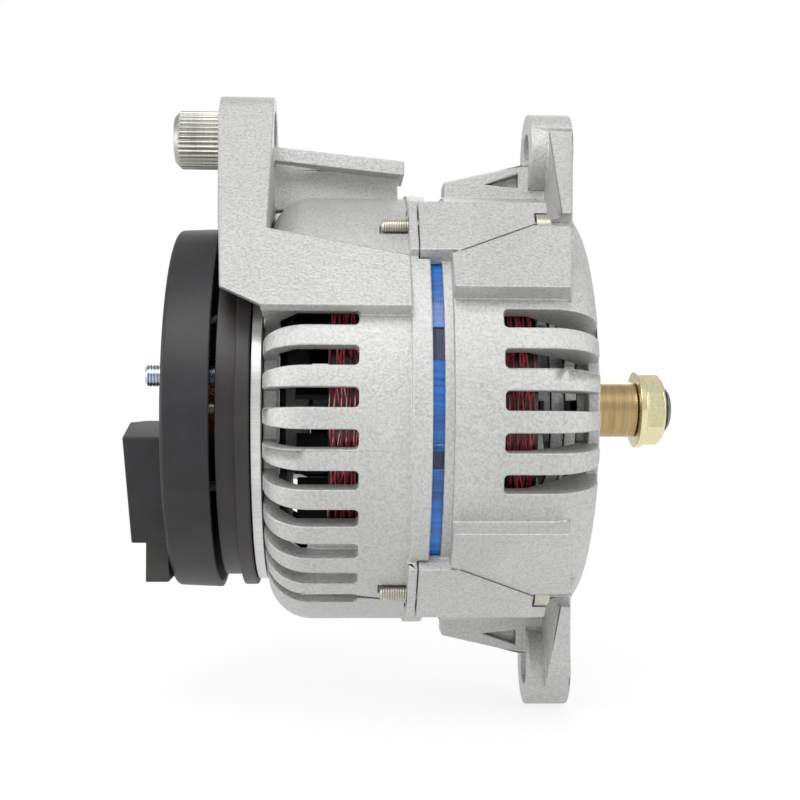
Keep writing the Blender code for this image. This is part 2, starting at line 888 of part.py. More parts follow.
def make_rear_housing():
    """Slip ring end shield: a ribbed drum with a flange, four lugs and the arched rear ear."""
    arch = rear_arch()
    body = rear_outer(0)
    lugs = [lug(rear_lug_back_x, rear_lug_x, angle) for angle in lug_angles]
    body = joined(body, gathered(lugs))
    body = joined(body, arch)
    pockets = [lug(rear_lug_x, rear_rim_x + overrun, angle, lug_pocket_gap) for angle in lug_angles]
    end_room_x = rear_lug_back_x - bolt_end_out - bolt_head_room
    end_room = bolt_way(end_room_x, rear_lug_back_x, bolt_radius + bolt_head_room)
    body = cut(body, gathered(pockets), end_room)
    groove_inner = rear_radius - rear_corner - rear_wall
    lower = sector_cutters(
        rear_slot_first - slot_pitch * rear_grooves_below,
        rear_slot_count + rear_grooves_below,
        rear_wall_x - overrun,
        rear_slot_front_x + slot_draft,
        groove_inner,
        rear_radius + seat_gap,
        slot_width + slot_draft,
    )
    grooves = cut(lower, rear_outer(rear_groove_depth))
    body = cut(body, grooves)
    body = cut(body, rear_inner())
    slots = sector_cutters(
        rear_slot_first,
        rear_slot_count,
        rear_slot_back_x,
        rear_slot_front_x,
        groove_inner,
        rear_radius + seat_gap,
        slot_width,
    )
    body = cut(body, slots)
    body = cut(body, bolt_way(rear_lug_back_x - overrun, rear_rim_x, bolt_radius + seat_gap))
    return place("rear_housing", smooth(body), cast_aluminium)


make_rear_housing()


def make_stator_core():
    """Ring of laminations, slotted inside for the winding and grooved outside for its weld seams."""
    core = tube(stack_rear_x, stack_front_x, stack_radius, stack_bore_radius, shield_steps)
    half = winding_slot_width / 2 + winding_slot_gap
    depth_radius = stack_bore_radius + winding_slot_depth
    slots = []
    for index in range(slot_count):
        slot = block(
            (stack_rear_x - overrun, stack_bore_radius - overrun, -half),
            (stack_front_x + overrun, depth_radius, half),
        )
        slots.append(turn_about_shaft(slot, 2 * math.pi * (index + 0.5) / slot_count))
    grooves = []
    for angle in (stack_groove_angle, -stack_groove_angle):
        for side in (angle, math.pi - angle):
            low = (stack_rear_x - overrun, stack_radius - stack_groove_depth, -stack_groove_width / 2)
            high = (stack_front_x + overrun, stack_radius + overrun, stack_groove_width / 2)
            grooves.append(turn_about_shaft(block(low, high), side))
    core = cut(core, gathered(slots), gathered(grooves))
    return place("stator_core", smooth(core), blue_lacquer)


def overhang(low_x, high_x):
    """One end of the winding, a ring with rounded edges."""
    inner = overhang_inner_radius
    outer = overhang_outer_radius
    edge = overhang_round
    return turned(
        [
            (high_x - edge, outer),
            (low_x + edge, outer),
            (low_x, outer - edge),
            (low_x, inner + edge),
            (low_x + edge, inner),
            (high_x - edge, inner),
            (high_x, inner + edge),
            (high_x, outer - edge),
        ],
        ring_steps,
    )


def make_stator_winding():
    """Both ends of the winding, joined by the bars that lie in the slots of the core."""
    front_ring = overhang(stack_front_x + winding_slot_lip, winding_front_x)
    rear_ring = overhang(winding_rear_x, stack_rear_x - winding_slot_lip)
    inner = overhang_inner_radius + winding_slot_lip / 2
    outer = stack_bore_radius + winding_slot_depth - winding_slot_gap
    end = overhang_round + winding_slot_lip
    bars = []
    for index in range(slot_count):
        bar = block(
            (stack_rear_x - end, inner, -winding_slot_width / 2),
            (stack_front_x + end, outer, winding_slot_width / 2),
        )
        bars.append(turn_about_shaft(bar, 2 * math.pi * (index + 0.5) / slot_count))
    winding = joined(joined(gathered(bars), front_ring), rear_ring)
    return place("stator_winding", smooth(winding), copper_lacquer)


def make_through_bolts():
    """Four socket head screws from the drive end, whose ends stand out behind the rear lugs."""
    head_x = bolt_head_seat_x + seat_gap
    end_x = rear_lug_back_x - bolt_end_out
    for number, angle in enumerate(bolt_angles, start=1):
        head = rod(head_x, head_x + bolt_head_height, bolt_head_radius, small_steps)
        shank = rod(end_x, head_x + bolt_head_height / 2, bolt_radius, bolt_steps)
        socket_x = head_x + bolt_head_height
        socket = rod(socket_x - bolt_socket_depth, socket_x + overrun, bolt_socket_radius, hexagon_sides)
        screw = at_bolt(cut(joined(head, shank), socket), angle)
        place(f"through_bolt_{number}", smooth(screw), machined_steel)


rotor_axis = bpy.data.objects.new("rotor_axis", None)
model.objects.link(rotor_axis)
front_cage_axis = bpy.data.objects.new("front_cage_axis", None)
model.objects.link(front_cage_axis)
rear_cage_axis = bpy.data.objects.new("rear_cage_axis", None)
model.objects.link(rear_cage_axis)


def make_shaft():
    """Stepped shaft with a threaded front end and a turning recess in its face."""
    core_front_x = rotor_front_x + fan_disc_thickness + seat_gap + shaft_tail_radius
    core_rear_x = rotor_rear_x - fan_disc_thickness - shaft_tail_radius
    thread_x = sleeve_front_x - overrun
    chamfer = thread_radius - thread_chamfer_radius
    body = turned(
        [
            (shaft_front_x, 0),
            (shaft_front_x, thread_radius - chamfer),
            (shaft_front_x - chamfer, thread_radius),
            (thread_x, thread_radius),
            (thread_x, shaft_radius),
            (core_front_x, shaft_radius),
            (core_front_x, shaft_core_radius),
            (core_rear_x, shaft_core_radius),
            (core_rear_x, shaft_tail_radius),
            (shaft_rear_x, shaft_tail_radius),
            (shaft_rear_x, 0),
        ],
        ring_steps,
    )
    recess_x = shaft_front_x - thread_bore_depth
    recess = rod(recess_x, shaft_front_x + overrun, thread_bore_radius, hexagon_sides)
    place("rotor_shaft", smooth(cut(body, recess)), machined_steel, rotor_axis)


def claw_pole(name, base_x, tip_x, start):
    """One claw pole: a disc with six tapered claws that reach over the field coil."""
    way = 1 if tip_x > base_x else -1
    disc_x = base_x + way * claw_disc_thickness
    outer = stack_bore_radius - air_gap
    inner = outer - claw_thickness
    bore = shaft_core_radius + seat_gap
    outline = [
        (base_x, outer - claw_thickness / 2),
        (base_x + way * claw_thickness / 2, outer),
        (tip_x, outer),
        (tip_x, inner),
        (disc_x, inner),
        (disc_x, bore),
        (base_x, bore),
    ]
    if way > 0:
        outline.reverse()
    cup = turned(outline, ring_steps)
    gap_root = math.pi / claw_count - claw_root_half_angle
    gap_tip = math.pi / claw_count - claw_tip_half_angle
    root_half = outer * math.tan(gap_root)
    tip_half = outer * math.tan(gap_tip)
    far_x = tip_x + way * overrun
    near_x = base_x - way * overrun
    gaps = []
    for index in range(claw_count):
        shape = bmesh.new()
        floor_radius = coil_outer_radius + seat_gap
        corners = [(near_x, -root_half), (disc_x, -root_half), (far_x, -tip_half)]
        corners += [(far_x, tip_half), (disc_x, root_half), (near_x, root_half)]
        low = [shape.verts.new((x, across, floor_radius)) for x, across in corners]
        face = shape.faces.new(low)
        drawn = bmesh.ops.extrude_face_region(shape, geom=[face])["geom"]
        moved = [item for item in drawn if isinstance(item, bmesh.types.BMVert)]
        bmesh.ops.translate(shape, vec=Vector((0, 0, outer)), verts=moved)
        bmesh.ops.recalc_face_normals(shape, faces=shape.faces)
        mesh = bpy.data.meshes.new("claw_gap")
        shape.to_mesh(mesh)
        shape.free()
        gaps.append(turn_about_shaft(mesh, start + 2 * math.pi * index / claw_count))
    for gap in gaps:
        cup = cut(cup, gap)
    place(name, smooth(cup), dark_steel, rotor_axis)


def fan(name, seat_x, way, blade_height):
    """A pressed fan: a flat ring with leaning blades bent up from it."""
    face_x = seat_x + way * fan_disc_thickness
    low_x, high_x = sorted((seat_x, face_x))
    disc = tube(low_x, high_x, fan_radius, fan_hub_radius, ring_steps)
    tip_x = face_x + way * blade_height
    low_x, high_x = sorted((face_x - way * fan_disc_thickness / 2, tip_x))
    blades = []
    for index in range(fan_blade_count):
        half = fan_blade_thickness / 2
        length = fan_radius - fan_blade_inner_radius - overrun / 2
        blade = block((low_x, 0, -half), (high_x, length, half))
        blade.transform(Matrix.Rotation(fan_blade_lean, 4, "X"))
        shifted(blade, y=fan_blade_inner_radius)
        blades.append(turn_about_shaft(blade, 2 * math.pi * index / fan_blade_count))
    place(name, smooth(joined(disc, gathered(blades))), machined_steel, rotor_axis)


def make_rotor():
    """The turning assembly: shaft, two claw poles, field coil, spool and two fans."""
    make_shaft()
    step = math.pi / claw_count
    tip_gap = overrun / 2
    claw_pole("claw_pole_front", rotor_front_x, rotor_rear_x + tip_gap, 0)
    claw_pole("claw_pole_rear", rotor_rear_x, rotor_front_x - tip_gap, step)
    coil_front_x = rotor_front_x - claw_disc_thickness - seat_gap
    coil_rear_x = rotor_rear_x + claw_disc_thickness + seat_gap
    bore = shaft_core_radius + seat_gap
    core = tube(coil_rear_x, coil_front_x, core_radius, bore, inner_steps)
    place("rotor_core", smooth(core), dark_steel, rotor_axis)
    bobbin_radius = core_radius + seat_gap
    coil = tube(coil_rear_x, coil_front_x, coil_outer_radius - coil_flange, bobbin_radius, inner_steps)
    place("field_coil", smooth(coil), copper, rotor_axis)
    fan("front_fan", rotor_front_x + seat_gap, 1, front_fan_blade_height)
    fan("rear_fan", rotor_rear_x - seat_gap, -1, rear_fan_blade_height)


def bearing(prefix, rear_x, front_x, bore, outer, cage_axis):
    """A ball bearing: two races and the balls in their cage."""
    outer_race = tube(rear_x, front_x, outer, outer - race_thickness, inner_steps)
    place(f"{prefix}_bearing_outer_race", smooth(outer_race), machined_steel)
    inner_race = tube(rear_x, front_x, bore + race_thickness, bore, inner_steps)
    place(f"{prefix}_bearing_inner_race", smooth(inner_race), machined_steel, rotor_axis)
    low = bore + race_thickness
    high = outer - race_thickness
    pitch_radius = (low + high) / 2
    ball_radius = (high - low) / 2 - ball_running_gap
    middle_x = (rear_x + front_x) / 2
    half = cage_width / 2
    cage = tube(middle_x - half, middle_x + half, pitch_radius + half, pitch_radius - half, inner_steps)
    balls = []
    for index in range(ball_count):
        shape = bmesh.new()
        bmesh.ops.create_uvsphere(shape, u_segments=8, v_segments=5, radius=ball_radius)
        mesh = bpy.data.meshes.new("ball")
        shape.to_mesh(mesh)
        shape.free()
        shifted(mesh, x=middle_x, y=pitch_radius)
        balls.append(turn_about_shaft(mesh, 2 * math.pi * index / ball_count))
    place(f"{prefix}_bearing_balls", smooth(joined(cage, gathered(balls))), machined_steel, cage_axis)


def make_bearings():
    """Both bearings, and the plate that holds the front one in its hub."""
    front_bore = shaft_radius + seat_gap
    front_span = (front_bearing_back_x, front_bearing_front_x)
    bearing("front", *front_span, front_bore, front_bearing_radius, front_cage_axis)
    rear_bore = shaft_tail_radius + seat_gap
    rear_span = (rear_bearing_rear_x, rear_bearing_front_x - seat_gap)
    bearing("rear", *rear_span, rear_bore, rear_bearing_radius, rear_cage_axis)
    plate_front_x = front_bearing_back_x - seat_gap
    plate_rear_x = plate_front_x - retainer_thickness
    plate = tube(plate_rear_x, plate_front_x, retainer_radius, retainer_bore_radius, ring_steps)
    place("bearing_retainer", smooth(plate), machined_steel)


def make_drive_end():
    """The spacer sleeve and the flanged nut on the shaft's threaded end."""
    sleeve_span = (sleeve_rear_x + seat_gap, sleeve_front_x - seat_gap)
    sleeve = tube(*sleeve_span, sleeve_radius, shaft_radius + seat_gap, ring_steps)
    place("shaft_sleeve", smooth(sleeve), bronze_sleeve, rotor_axis)
    flange_x = sleeve_front_x + nut_flange_thickness
    flange = rod(sleeve_front_x, flange_x, nut_flange_radius, ring_steps)
    corner = nut_across_flats / 2 / math.cos(math.pi / 6)
    hexagon = rod(flange_x - nut_flange_thickness / 2, nut_front_x, corner, hexagon_sides)
    turn_about_shaft(hexagon, math.pi / 6)
    chamfer_run = corner - nut_across_flats / 2
    keep = turned(
        [
            (nut_front_x + seat_gap, 0),
            (nut_front_x + seat_gap, nut_across_flats / 2 - chamfer_run / 2),
            (nut_front_x - chamfer_run, corner + overrun / 8),
            (sleeve_front_x - overrun, corner + overrun / 8),
            (sleeve_front_x - overrun, 0),
        ],
        small_steps + small_steps,
    )
    hexagon = shared(hexagon, keep)
    bore = rod(sleeve_front_x - overrun, nut_front_x + overrun, thread_radius + seat_gap, small_steps)
    place("pulley_nut", smooth(cut(joined(flange, hexagon), bore)), yellow_zinc, rotor_axis)


def make_slip_rings():
    """Insulating core on the shaft's tail with two copper rings."""
    core_bore = shaft_tail_radius + seat_gap
    core = tube(slip_core_rear_x, slip_core_front_x, slip_core_radius, core_bore, inner_steps)
    place("slip_ring_core", smooth(core), black_plastic, rotor_axis)
    middle = (slip_core_rear_x + slip_core_front_x) / 2
    for name, side in (("slip_ring_outer", -1), ("slip_ring_inner", 1)):
        ring_x = middle + side * slip_ring_spacing / 2
        span = (ring_x - slip_ring_width / 2, ring_x + slip_ring_width / 2)
        ring = tube(*span, slip_ring_radius, slip_core_radius + seat_gap, inner_steps)
        place(name, smooth(ring), copper, rotor_axis)


def open_ring(rear_x, front_x, outer, inner):
    """A plate round the shaft, open at the top where the brush holder sits."""
    ring = tube(rear_x, front_x, outer, inner, ring_steps)
    half = rectifier_gap_angle / 2
    reach = outer + overrun
    wedge = [(0, 0), (reach * math.tan(half), reach), (-reach * math.tan(half), reach)]
    return cut(ring, extruded(wedge, rear_x - overrun, front_x + overrun, "X"))


def make_rectifier():
    """Negative plate on the shield, insulating ring, positive plate, and six pressed diodes."""
    diode_holes = []
    for angle in diode_angles:
        for offset in (-1, 1):
            turned_to = angle + offset * rectifier_gap_angle / 4
            diode_holes.append(turned_to)
    negative = open_ring(negative_rear_x, negative_front_x, negative_plate_radius, rectifier_inner_radius)
    insulator_span = (insulator_rear_x, insulator_front_x)
    insulator = tube(*insulator_span, insulator_radius, negative_plate_radius - overrun, shield_steps)
    skirt_radius = insulator_radius - skirt_inset
    skirt_span = (insulator_rear_x - skirt_length, insulator_rear_x + insulator_thickness / 2)
    insulator = joined(insulator, tube(*skirt_span, skirt_radius, skirt_radius - skirt_wall, shield_steps))
    positive = open_ring(positive_rear_x, positive_front_x, positive_plate_radius, rectifier_inner_radius)
    bores = []
    for turned_to in diode_holes:
        bore_radius = diode_radius + seat_gap
        bore = rod(positive_rear_x - overrun, negative_front_x + overrun, bore_radius, small_steps)
        bores.append(turn_about_shaft(shifted(bore, y=diode_circle_radius), turned_to))
    negative = cut(negative, gathered(bores[:3]))
    positive = cut(positive, gathered(bores[3:]))
    place("negative_plate", smooth(negative), cast_aluminium)
    place("rectifier_insulator", smooth(insulator), black_plastic)
    place("positive_plate", smooth(positive), cast_aluminium)
    for number, turned_to in enumerate(diode_holes, start=1):
        if number <= 3:
            rear_x, front_x = negative_front_x - diode_height, negative_front_x
        else:
            rear_x, front_x = positive_rear_x, positive_rear_x + diode_height
        diode = rod(rear_x, front_x, diode_radius, small_steps)
        diode = turn_about_shaft(shifted(diode, y=diode_circle_radius), turned_to)
        place(f"diode_{number}", smooth(diode), machined_steel)


def make_brush_gear():
    """Holder with two guide wells over the slip rings, and a carbon brush in each."""
    middle = (slip_core_rear_x + slip_core_front_x) / 2
    low_x = slip_core_rear_x + seat_gap
    high_x = slip_core_front_x - seat_gap
    top_z = holder_bottom_z + holder_height
    holder = block((low_x, -holder_half_width, holder_bottom_z), (high_x, holder_half_width, top_z))
    wells = []
    for side in (-1, 1):
        ring_x = middle + side * slip_ring_spacing / 2
        half_x = brush_length / 2 + brush_gap
        half_y = brush_width / 2 + brush_gap
        low = (ring_x - half_x, -half_y, holder_bottom_z - overrun)
        high = (ring_x + half_x, half_y, top_z - cover_wall)
        wells.append(block(low, high))
    holder = cut(holder, gathered(wells))
    place("brush_holder", smooth(holder), black_plastic)
    for name, side in (("brush_outer", -1), ("brush_inner", 1)):
        ring_x = middle + side * slip_ring_spacing / 2
        foot_z = slip_ring_radius + seat_gap
        brush = block(
            (-brush_length / 2, -brush_width / 2, 0),
            (brush_length / 2, brush_width / 2, brush_height),
        )
        piece = place(name, brush, carbon)
        piece.location = (ring_x, 0, foot_z)


def cover_form(radius_drop, rear_x, rim_x):
    """Cup shape of the rear cover, or of its hollow."""
    outer = cover_radius - radius_drop
    face = cover_face_radius - radius_drop
    bend = cover_corner - radius_drop
    arc = []
    for index in range(corner_steps + 1):
        angle = math.pi / 2 * index / corner_steps
        arc.append((rear_x + bend * (1 - math.sin(angle)), face - bend * (1 - math.cos(angle))))
    arc.sort(reverse=True)
    return turned([(rim_x, 0), (rim_x, outer), *arc, (rear_x, 0)], shield_steps)


def hood_section(wall, bottom_z):
    """The terminal hood cut across, or its hollow when a wall is given."""
    return [
        (hood_near_y + wall, bottom_z),
        (hood_far_y - wall, bottom_z),
        (hood_far_y - wall, hood_top_z - wall),
        (hood_shoulder_y, hood_top_z - wall),
        (hood_near_y + wall, hood_top_z - hood_shoulder_drop - wall),
    ]


def make_rear_cover():
    """Moulded cup over the rectifier, with a hood over the terminals and a hole for the battery stud."""
    outer = cover_form(0, cover_rear_x, cover_rim_x)
    hood_front_x = cover_rear_x + cover_corner / 2
    hood = extruded(hood_section(0, hood_bottom_z), hood_rear_x, hood_front_x, "X")
    lean = [
        (hood_rear_x - overrun, hood_top_z),
        (hood_rear_x, hood_top_z),
        (hood_rear_x + hood_lean, hood_bottom_z),
        (hood_rear_x + hood_lean, hood_bottom_z - overrun),
        (hood_rear_x - overrun, hood_bottom_z - overrun),
    ]
    hood = cut(hood, extruded(lean, hood_near_y - overrun, hood_far_y + overrun, "Y"))
    shell = joined(outer, hood)
    shell = cut(shell, cover_form(cover_wall, cover_rear_x + cover_wall, cover_rim_x + overrun))
    hollow_rear_x = hood_rear_x + hood_lean + cover_wall
    open_below = hood_section(cover_wall, hood_bottom_z - overrun)
    hollow = extruded(open_below, hollow_rear_x, cover_rear_x - seat_gap, "X")
    closed_below = hood_section(cover_wall + seat_gap, hood_bottom_z + cover_wall)
    throat = extruded(closed_below, cover_rear_x - overrun / 2, cover_rear_x + cover_wall + overrun, "X")
    notch = block(
        (hollow_rear_x, connector_near_y - seat_gap, connector_bottom_z - seat_gap),
        (connector_front_x + seat_gap, connector_far_y + seat_gap, hood_bottom_z + connector_tuck + seat_gap),
    )
    stud_hole = shifted(
        rod(cover_rear_x - overrun, cover_rear_x + cover_wall + overrun, stud_radius + seat_gap, small_steps),
        y=-stud_side,
        z=stud_height,
    )
    screw_holes = []
    for angle in cover_screw_angles:
        hole_span = (cover_rear_x - overrun, cover_rear_x + cover_wall + overrun)
        hole = rod(*hole_span, cover_screw_radius + seat_gap, bolt_steps)
        screw_holes.append(turn_about_shaft(shifted(hole, y=cover_screw_circle), angle))
    shell = cut(shell, hollow, throat, notch, gathered([stud_hole, *screw_holes]))
    place("rear_cover", smooth(shell), black_plastic)


def make_brush_springs():
    """A coil spring in each well, between the brush and the well's end."""
    middle = (slip_core_rear_x + slip_core_front_x) / 2
    low_z = slip_ring_radius + seat_gap + brush_height + seat_gap + spring_wire_radius
    high_z = holder_bottom_z + holder_height - cover_wall - seat_gap - spring_wire_radius
    for name, side in (("brush_spring_outer", -1), ("brush_spring_inner", 1)):
        ring_x = middle + side * slip_ring_spacing / 2
        count = spring_turns * spring_steps
        curve = bpy.data.curves.new(name, "CURVE")
        curve.dimensions = "3D"
        wire = curve.splines.new("POLY")
        wire.points.add(count)
        for index in range(count + 1):
            angle = 2 * math.pi * spring_turns * index / count
            height = low_z + (high_z - low_z) * index / count
            x = ring_x + spring_radius * math.cos(angle)
            wire.points[index].co = (x, spring_radius * math.sin(angle), height, 1)
        curve.bevel_depth = spring_wire_radius
        curve.bevel_resolution = 0
        curve.use_fill_caps = True
        piece = bpy.data.objects.new(name, curve)
        cutters.objects.link(piece)
        mesh = finished(piece)
        shape = bmesh.new()
        shape.from_mesh(mesh)
        bmesh.ops.remove_doubles(shape, verts=shape.verts, dist=weld_distance)
        shape.to_mesh(mesh)
        shape.free()
        place(name, smooth(mesh), machined_steel)


def make_terminals():
    """The battery stud with its nut, the signal connector under the hood, and the cover's screws."""
    stud_x = positive_rear_x - seat_gap
    tip_x = cover_rear_x - stud_stand_out
    stud = rod(tip_x, stud_x, stud_radius, small_steps)
    place("battery_stud", smooth(shifted(stud, y=-stud_side, z=stud_height)), blue_zinc)
    seat_x = cover_rear_x + cover_wall + seat_gap
    nut = rod(seat_x, seat_x + stud_nut_height, stud_nut_radius, hexagon_sides)
    bore = rod(seat_x - overrun, seat_x + stud_nut_height + overrun, stud_radius + seat_gap, small_steps)
    nut = shifted(cut(nut, bore), y=-stud_side, z=stud_height)
    place("battery_stud_nut", smooth(nut), blue_zinc)
    top_z = hood_bottom_z + connector_tuck
    low = (connector_rear_x, connector_near_y, connector_bottom_z)
    body = block(low, (connector_front_x, connector_far_y, top_z))
    mouth_low = (
        connector_rear_x + connector_wall,
        connector_near_y + connector_wall,
        connector_bottom_z - overrun,
    )
    mouth_top = top_z - connector_wall
    mouth_high = (connector_front_x - connector_wall, connector_far_y - connector_wall, mouth_top)
    place("signal_connector", smooth(cut(body, block(mouth_low, mouth_high))), black_plastic)
    for number, angle in enumerate(cover_screw_angles, start=1):
        rise_x = cover_rear_x - cover_screw_head_height
        head = turned(
            [
                (cover_rear_x - seat_gap, 0),
                (cover_rear_x - seat_gap, cover_screw_head_radius),
                (rise_x + cover_screw_head_height / 2, cover_screw_head_radius * screw_crown_share),
                (rise_x - seat_gap, cover_screw_radius),
                (rise_x - seat_gap, 0),
            ],
            small_steps,
        )
        shank_span = (rise_x + cover_screw_head_height / 2, positive_rear_x - seat_gap)
        shank = rod(*shank_span, cover_screw_radius, bolt_steps)
        screw = turn_about_shaft(shifted(joined(head, shank), y=cover_screw_circle), angle)
        place(f"cover_screw_{number}", smooth(screw), machined_steel)


def make_ear_bush():
    """Serrated steel bush, pressed into the rear ear so that it can creep along under the bolt."""
    rear_x = rear_ear_rear_x - bush_stand_out
    front_x = rear_x + bush_length
    groove_radius = bush_radius - bush_serration_depth
    points = []
    for index in range(bush_serrations * 2):
        angle = math.pi * index / bush_serrations
        radius = bush_radius if index % 2 else groove_radius
        points.append((radius * math.cos(angle), radius * math.sin(angle)))
    body = extruded(points, rear_x, front_x, "X")
    keep = turned(
        [
            (front_x + seat_gap, 0),
            (front_x + seat_gap, bush_radius - bush_chamfer / 2),
            (front_x - bush_chamfer / 2, bush_radius + seat_gap),
            (rear_x + bush_chamfer, bush_radius + seat_gap),
            (rear_x - seat_gap, bush_radius - bush_chamfer),
            (rear_x - seat_gap, 0),
        ],
        inner_steps,
    )
    bore = rod(rear_x - overrun, front_x + overrun, bush_bore_radius, small_steps)
    mesh = cut(shared(body, keep), bore)
    piece = place("ear_bush", smooth(mesh), machined_steel)
    piece.location = (0, 0, rear_ear_height)


make_stator_core()
make_stator_winding()
make_through_bolts()
make_rotor()
make_bearings()
make_drive_end()
make_slip_rings()
make_rectifier()
make_brush_gear()
make_rear_cover()
make_brush_springs()
make_terminals()
make_ear_bush()
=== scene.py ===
import math

import bmesh
import bpy
from mathutils import Matrix, Vector


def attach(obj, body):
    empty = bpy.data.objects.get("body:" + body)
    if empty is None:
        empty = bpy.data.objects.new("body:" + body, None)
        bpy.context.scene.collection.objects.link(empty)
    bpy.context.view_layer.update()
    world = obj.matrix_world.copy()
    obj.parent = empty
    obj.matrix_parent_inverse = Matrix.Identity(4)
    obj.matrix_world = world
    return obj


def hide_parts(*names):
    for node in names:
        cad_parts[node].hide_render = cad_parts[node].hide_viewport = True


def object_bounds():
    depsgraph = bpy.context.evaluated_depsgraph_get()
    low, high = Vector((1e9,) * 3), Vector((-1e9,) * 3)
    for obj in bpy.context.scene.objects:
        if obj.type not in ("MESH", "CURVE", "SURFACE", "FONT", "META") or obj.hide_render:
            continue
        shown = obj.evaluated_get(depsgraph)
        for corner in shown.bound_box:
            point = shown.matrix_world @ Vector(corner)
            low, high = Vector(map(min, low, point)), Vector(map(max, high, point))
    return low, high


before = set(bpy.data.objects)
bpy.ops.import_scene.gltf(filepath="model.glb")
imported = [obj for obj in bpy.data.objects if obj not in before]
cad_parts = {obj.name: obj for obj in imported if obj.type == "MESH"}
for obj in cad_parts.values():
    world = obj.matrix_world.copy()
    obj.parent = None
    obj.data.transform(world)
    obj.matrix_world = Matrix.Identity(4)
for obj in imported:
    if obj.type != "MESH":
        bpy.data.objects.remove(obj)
cad_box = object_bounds()

# Studio: a pale floor that meets a white backdrop, a high soft lamp in front,
# a wide lamp from the left and a weak one from the right. The camera stands where
# the photograph was taken from, level with the shaft and square to the machine.
floor_z = cad_box[0][2] - 0.0004
floor_reach = 3.0
floor_colour = (0.93, 0.93, 0.93, 1)
camera_place = (-0.0644, -0.4636, 0.003)
camera_yaw = math.radians(2.45)
camera_roll = math.radians(0.3)
camera_lens = 58.5


def stage_material(name, colour, shows):
    """A matt surface that the camera, mirrors and glass see as plain white."""
    made = bpy.data.materials.new(name)
    made.use_nodes = True
    nodes, links = made.node_tree.nodes, made.node_tree.links
    shader = nodes["Principled BSDF"]
    shader.inputs["Base Color"].default_value = colour
    shader.inputs["Roughness"].default_value = 0.9
    glow = nodes.new("ShaderNodeEmission")
    glow.inputs["Color"].default_value = (1, 1, 1, 1)
    rays = nodes.new("ShaderNodeLightPath")
    seen = nodes.new("ShaderNodeMath")
    seen.operation = "MAXIMUM"
    links.new(rays.outputs["Is Camera Ray"], seen.inputs[0])
    links.new(rays.outputs["Is Glossy Ray"], seen.inputs[1])
    place = nodes.new("ShaderNodeTexCoord")
    away = nodes.new("ShaderNodeVectorMath")
    away.operation = "LENGTH"
    links.new(place.outputs["Object"], away.inputs[0])
    fade = nodes.new("ShaderNodeMapRange")
    fade.inputs["From Min"].default_value = 0.16
    fade.inputs["From Max"].default_value = 0.34
    fade.inputs["To Min"].default_value = shows
    fade.inputs["To Max"].default_value = 1
    links.new(away.outputs["Value"], fade.inputs["Value"])
    share = nodes.new("ShaderNodeMath")
    share.operation = "MULTIPLY"
    links.new(fade.outputs[0], share.inputs[1])
    links.new(seen.outputs[0], share.inputs[0])
    blend = nodes.new("ShaderNodeMixShader")
    links.new(share.outputs[0], blend.inputs[0])
    links.new(shader.outputs[0], blend.inputs[1])
    links.new(glow.outputs[0], blend.inputs[2])
    links.new(blend.outputs[0], nodes["Material Output"].inputs["Surface"])
    return made


def stage_sheet(name, corners, material):
    form = bmesh.new()
    form.faces.new([form.verts.new(corner) for corner in corners])
    mesh = bpy.data.meshes.new(name)
    form.to_mesh(mesh)
    form.free()
    sheet = bpy.data.objects.new(name, mesh)
    mesh.materials.append(material)
    bpy.context.scene.collection.objects.link(sheet)
    return sheet


stage_sheet(
    "studio_floor",
    [
        (-floor_reach, -floor_reach, floor_z),
        (floor_reach, -floor_reach, floor_z),
        (floor_reach, floor_reach, floor_z),
        (-floor_reach, floor_reach, floor_z),
    ],
    stage_material("studio_floor_white", floor_colour, 0.8),
)

world = bpy.data.worlds.new("studio_air")
bpy.context.scene.world = world
world.use_nodes = True
air = world.node_tree
air.nodes.clear()
sky = air.nodes.new("ShaderNodeBackground")
sky.inputs["Color"].default_value = (1, 1, 1, 1)
rays = air.nodes.new("ShaderNodeLightPath")
seen = air.nodes.new("ShaderNodeMath")
seen.operation = "MAXIMUM"
air.links.new(rays.outputs["Is Camera Ray"], seen.inputs[0])
air.links.new(rays.outputs["Is Transmission Ray"], seen.inputs[1])
strength = air.nodes.new("ShaderNodeMapRange")
strength.inputs["To Min"].default_value = 0.62
strength.inputs["To Max"].default_value = 1
air.links.new(seen.outputs[0], strength.inputs["Value"])
air.links.new(strength.outputs[0], sky.inputs["Strength"])
ending = air.nodes.new("ShaderNodeOutputWorld")
air.links.new(sky.outputs[0], ending.inputs["Surface"])


def lamp(name, place, aim, size, power):
    light = bpy.data.lights.new(name, "AREA")
    light.shape = "DISK"
    light.size = size
    light.energy = power
    holder = bpy.data.objects.new(name, light)
    bpy.context.scene.collection.objects.link(holder)
    holder.location = place
    holder.rotation_euler = (Vector(aim) - Vector(place)).to_track_quat("-Z", "Y").to_euler()
    return holder


lamp("key_lamp", (-0.25, -0.75, 0.85), (-0.03, 0, 0), 0.7, 7)
lamp("left_lamp", (-0.9, -0.2, 0.15), (-0.04, 0, 0), 0.6, 3)
lamp("right_lamp", (0.8, -0.5, 0.3), (-0.02, 0, 0), 0.6, 2.5)
lamp("back_lamp", (0.1, 0.9, 0.5), (-0.03, 0, 0), 0.7, 4)

bpy.context.scene.view_settings.view_transform = "Standard"

camera_data = bpy.data.cameras.new("camera")
camera_data.lens = camera_lens
camera_data.sensor_width = 36
camera_data.clip_start = 0.01
camera = bpy.data.objects.new("camera", camera_data)
bpy.context.scene.collection.objects.link(camera)
camera.location = camera_place
camera.rotation_euler = (math.pi / 2, -camera_roll, -camera_yaw)
bpy.context.scene.camera = camera


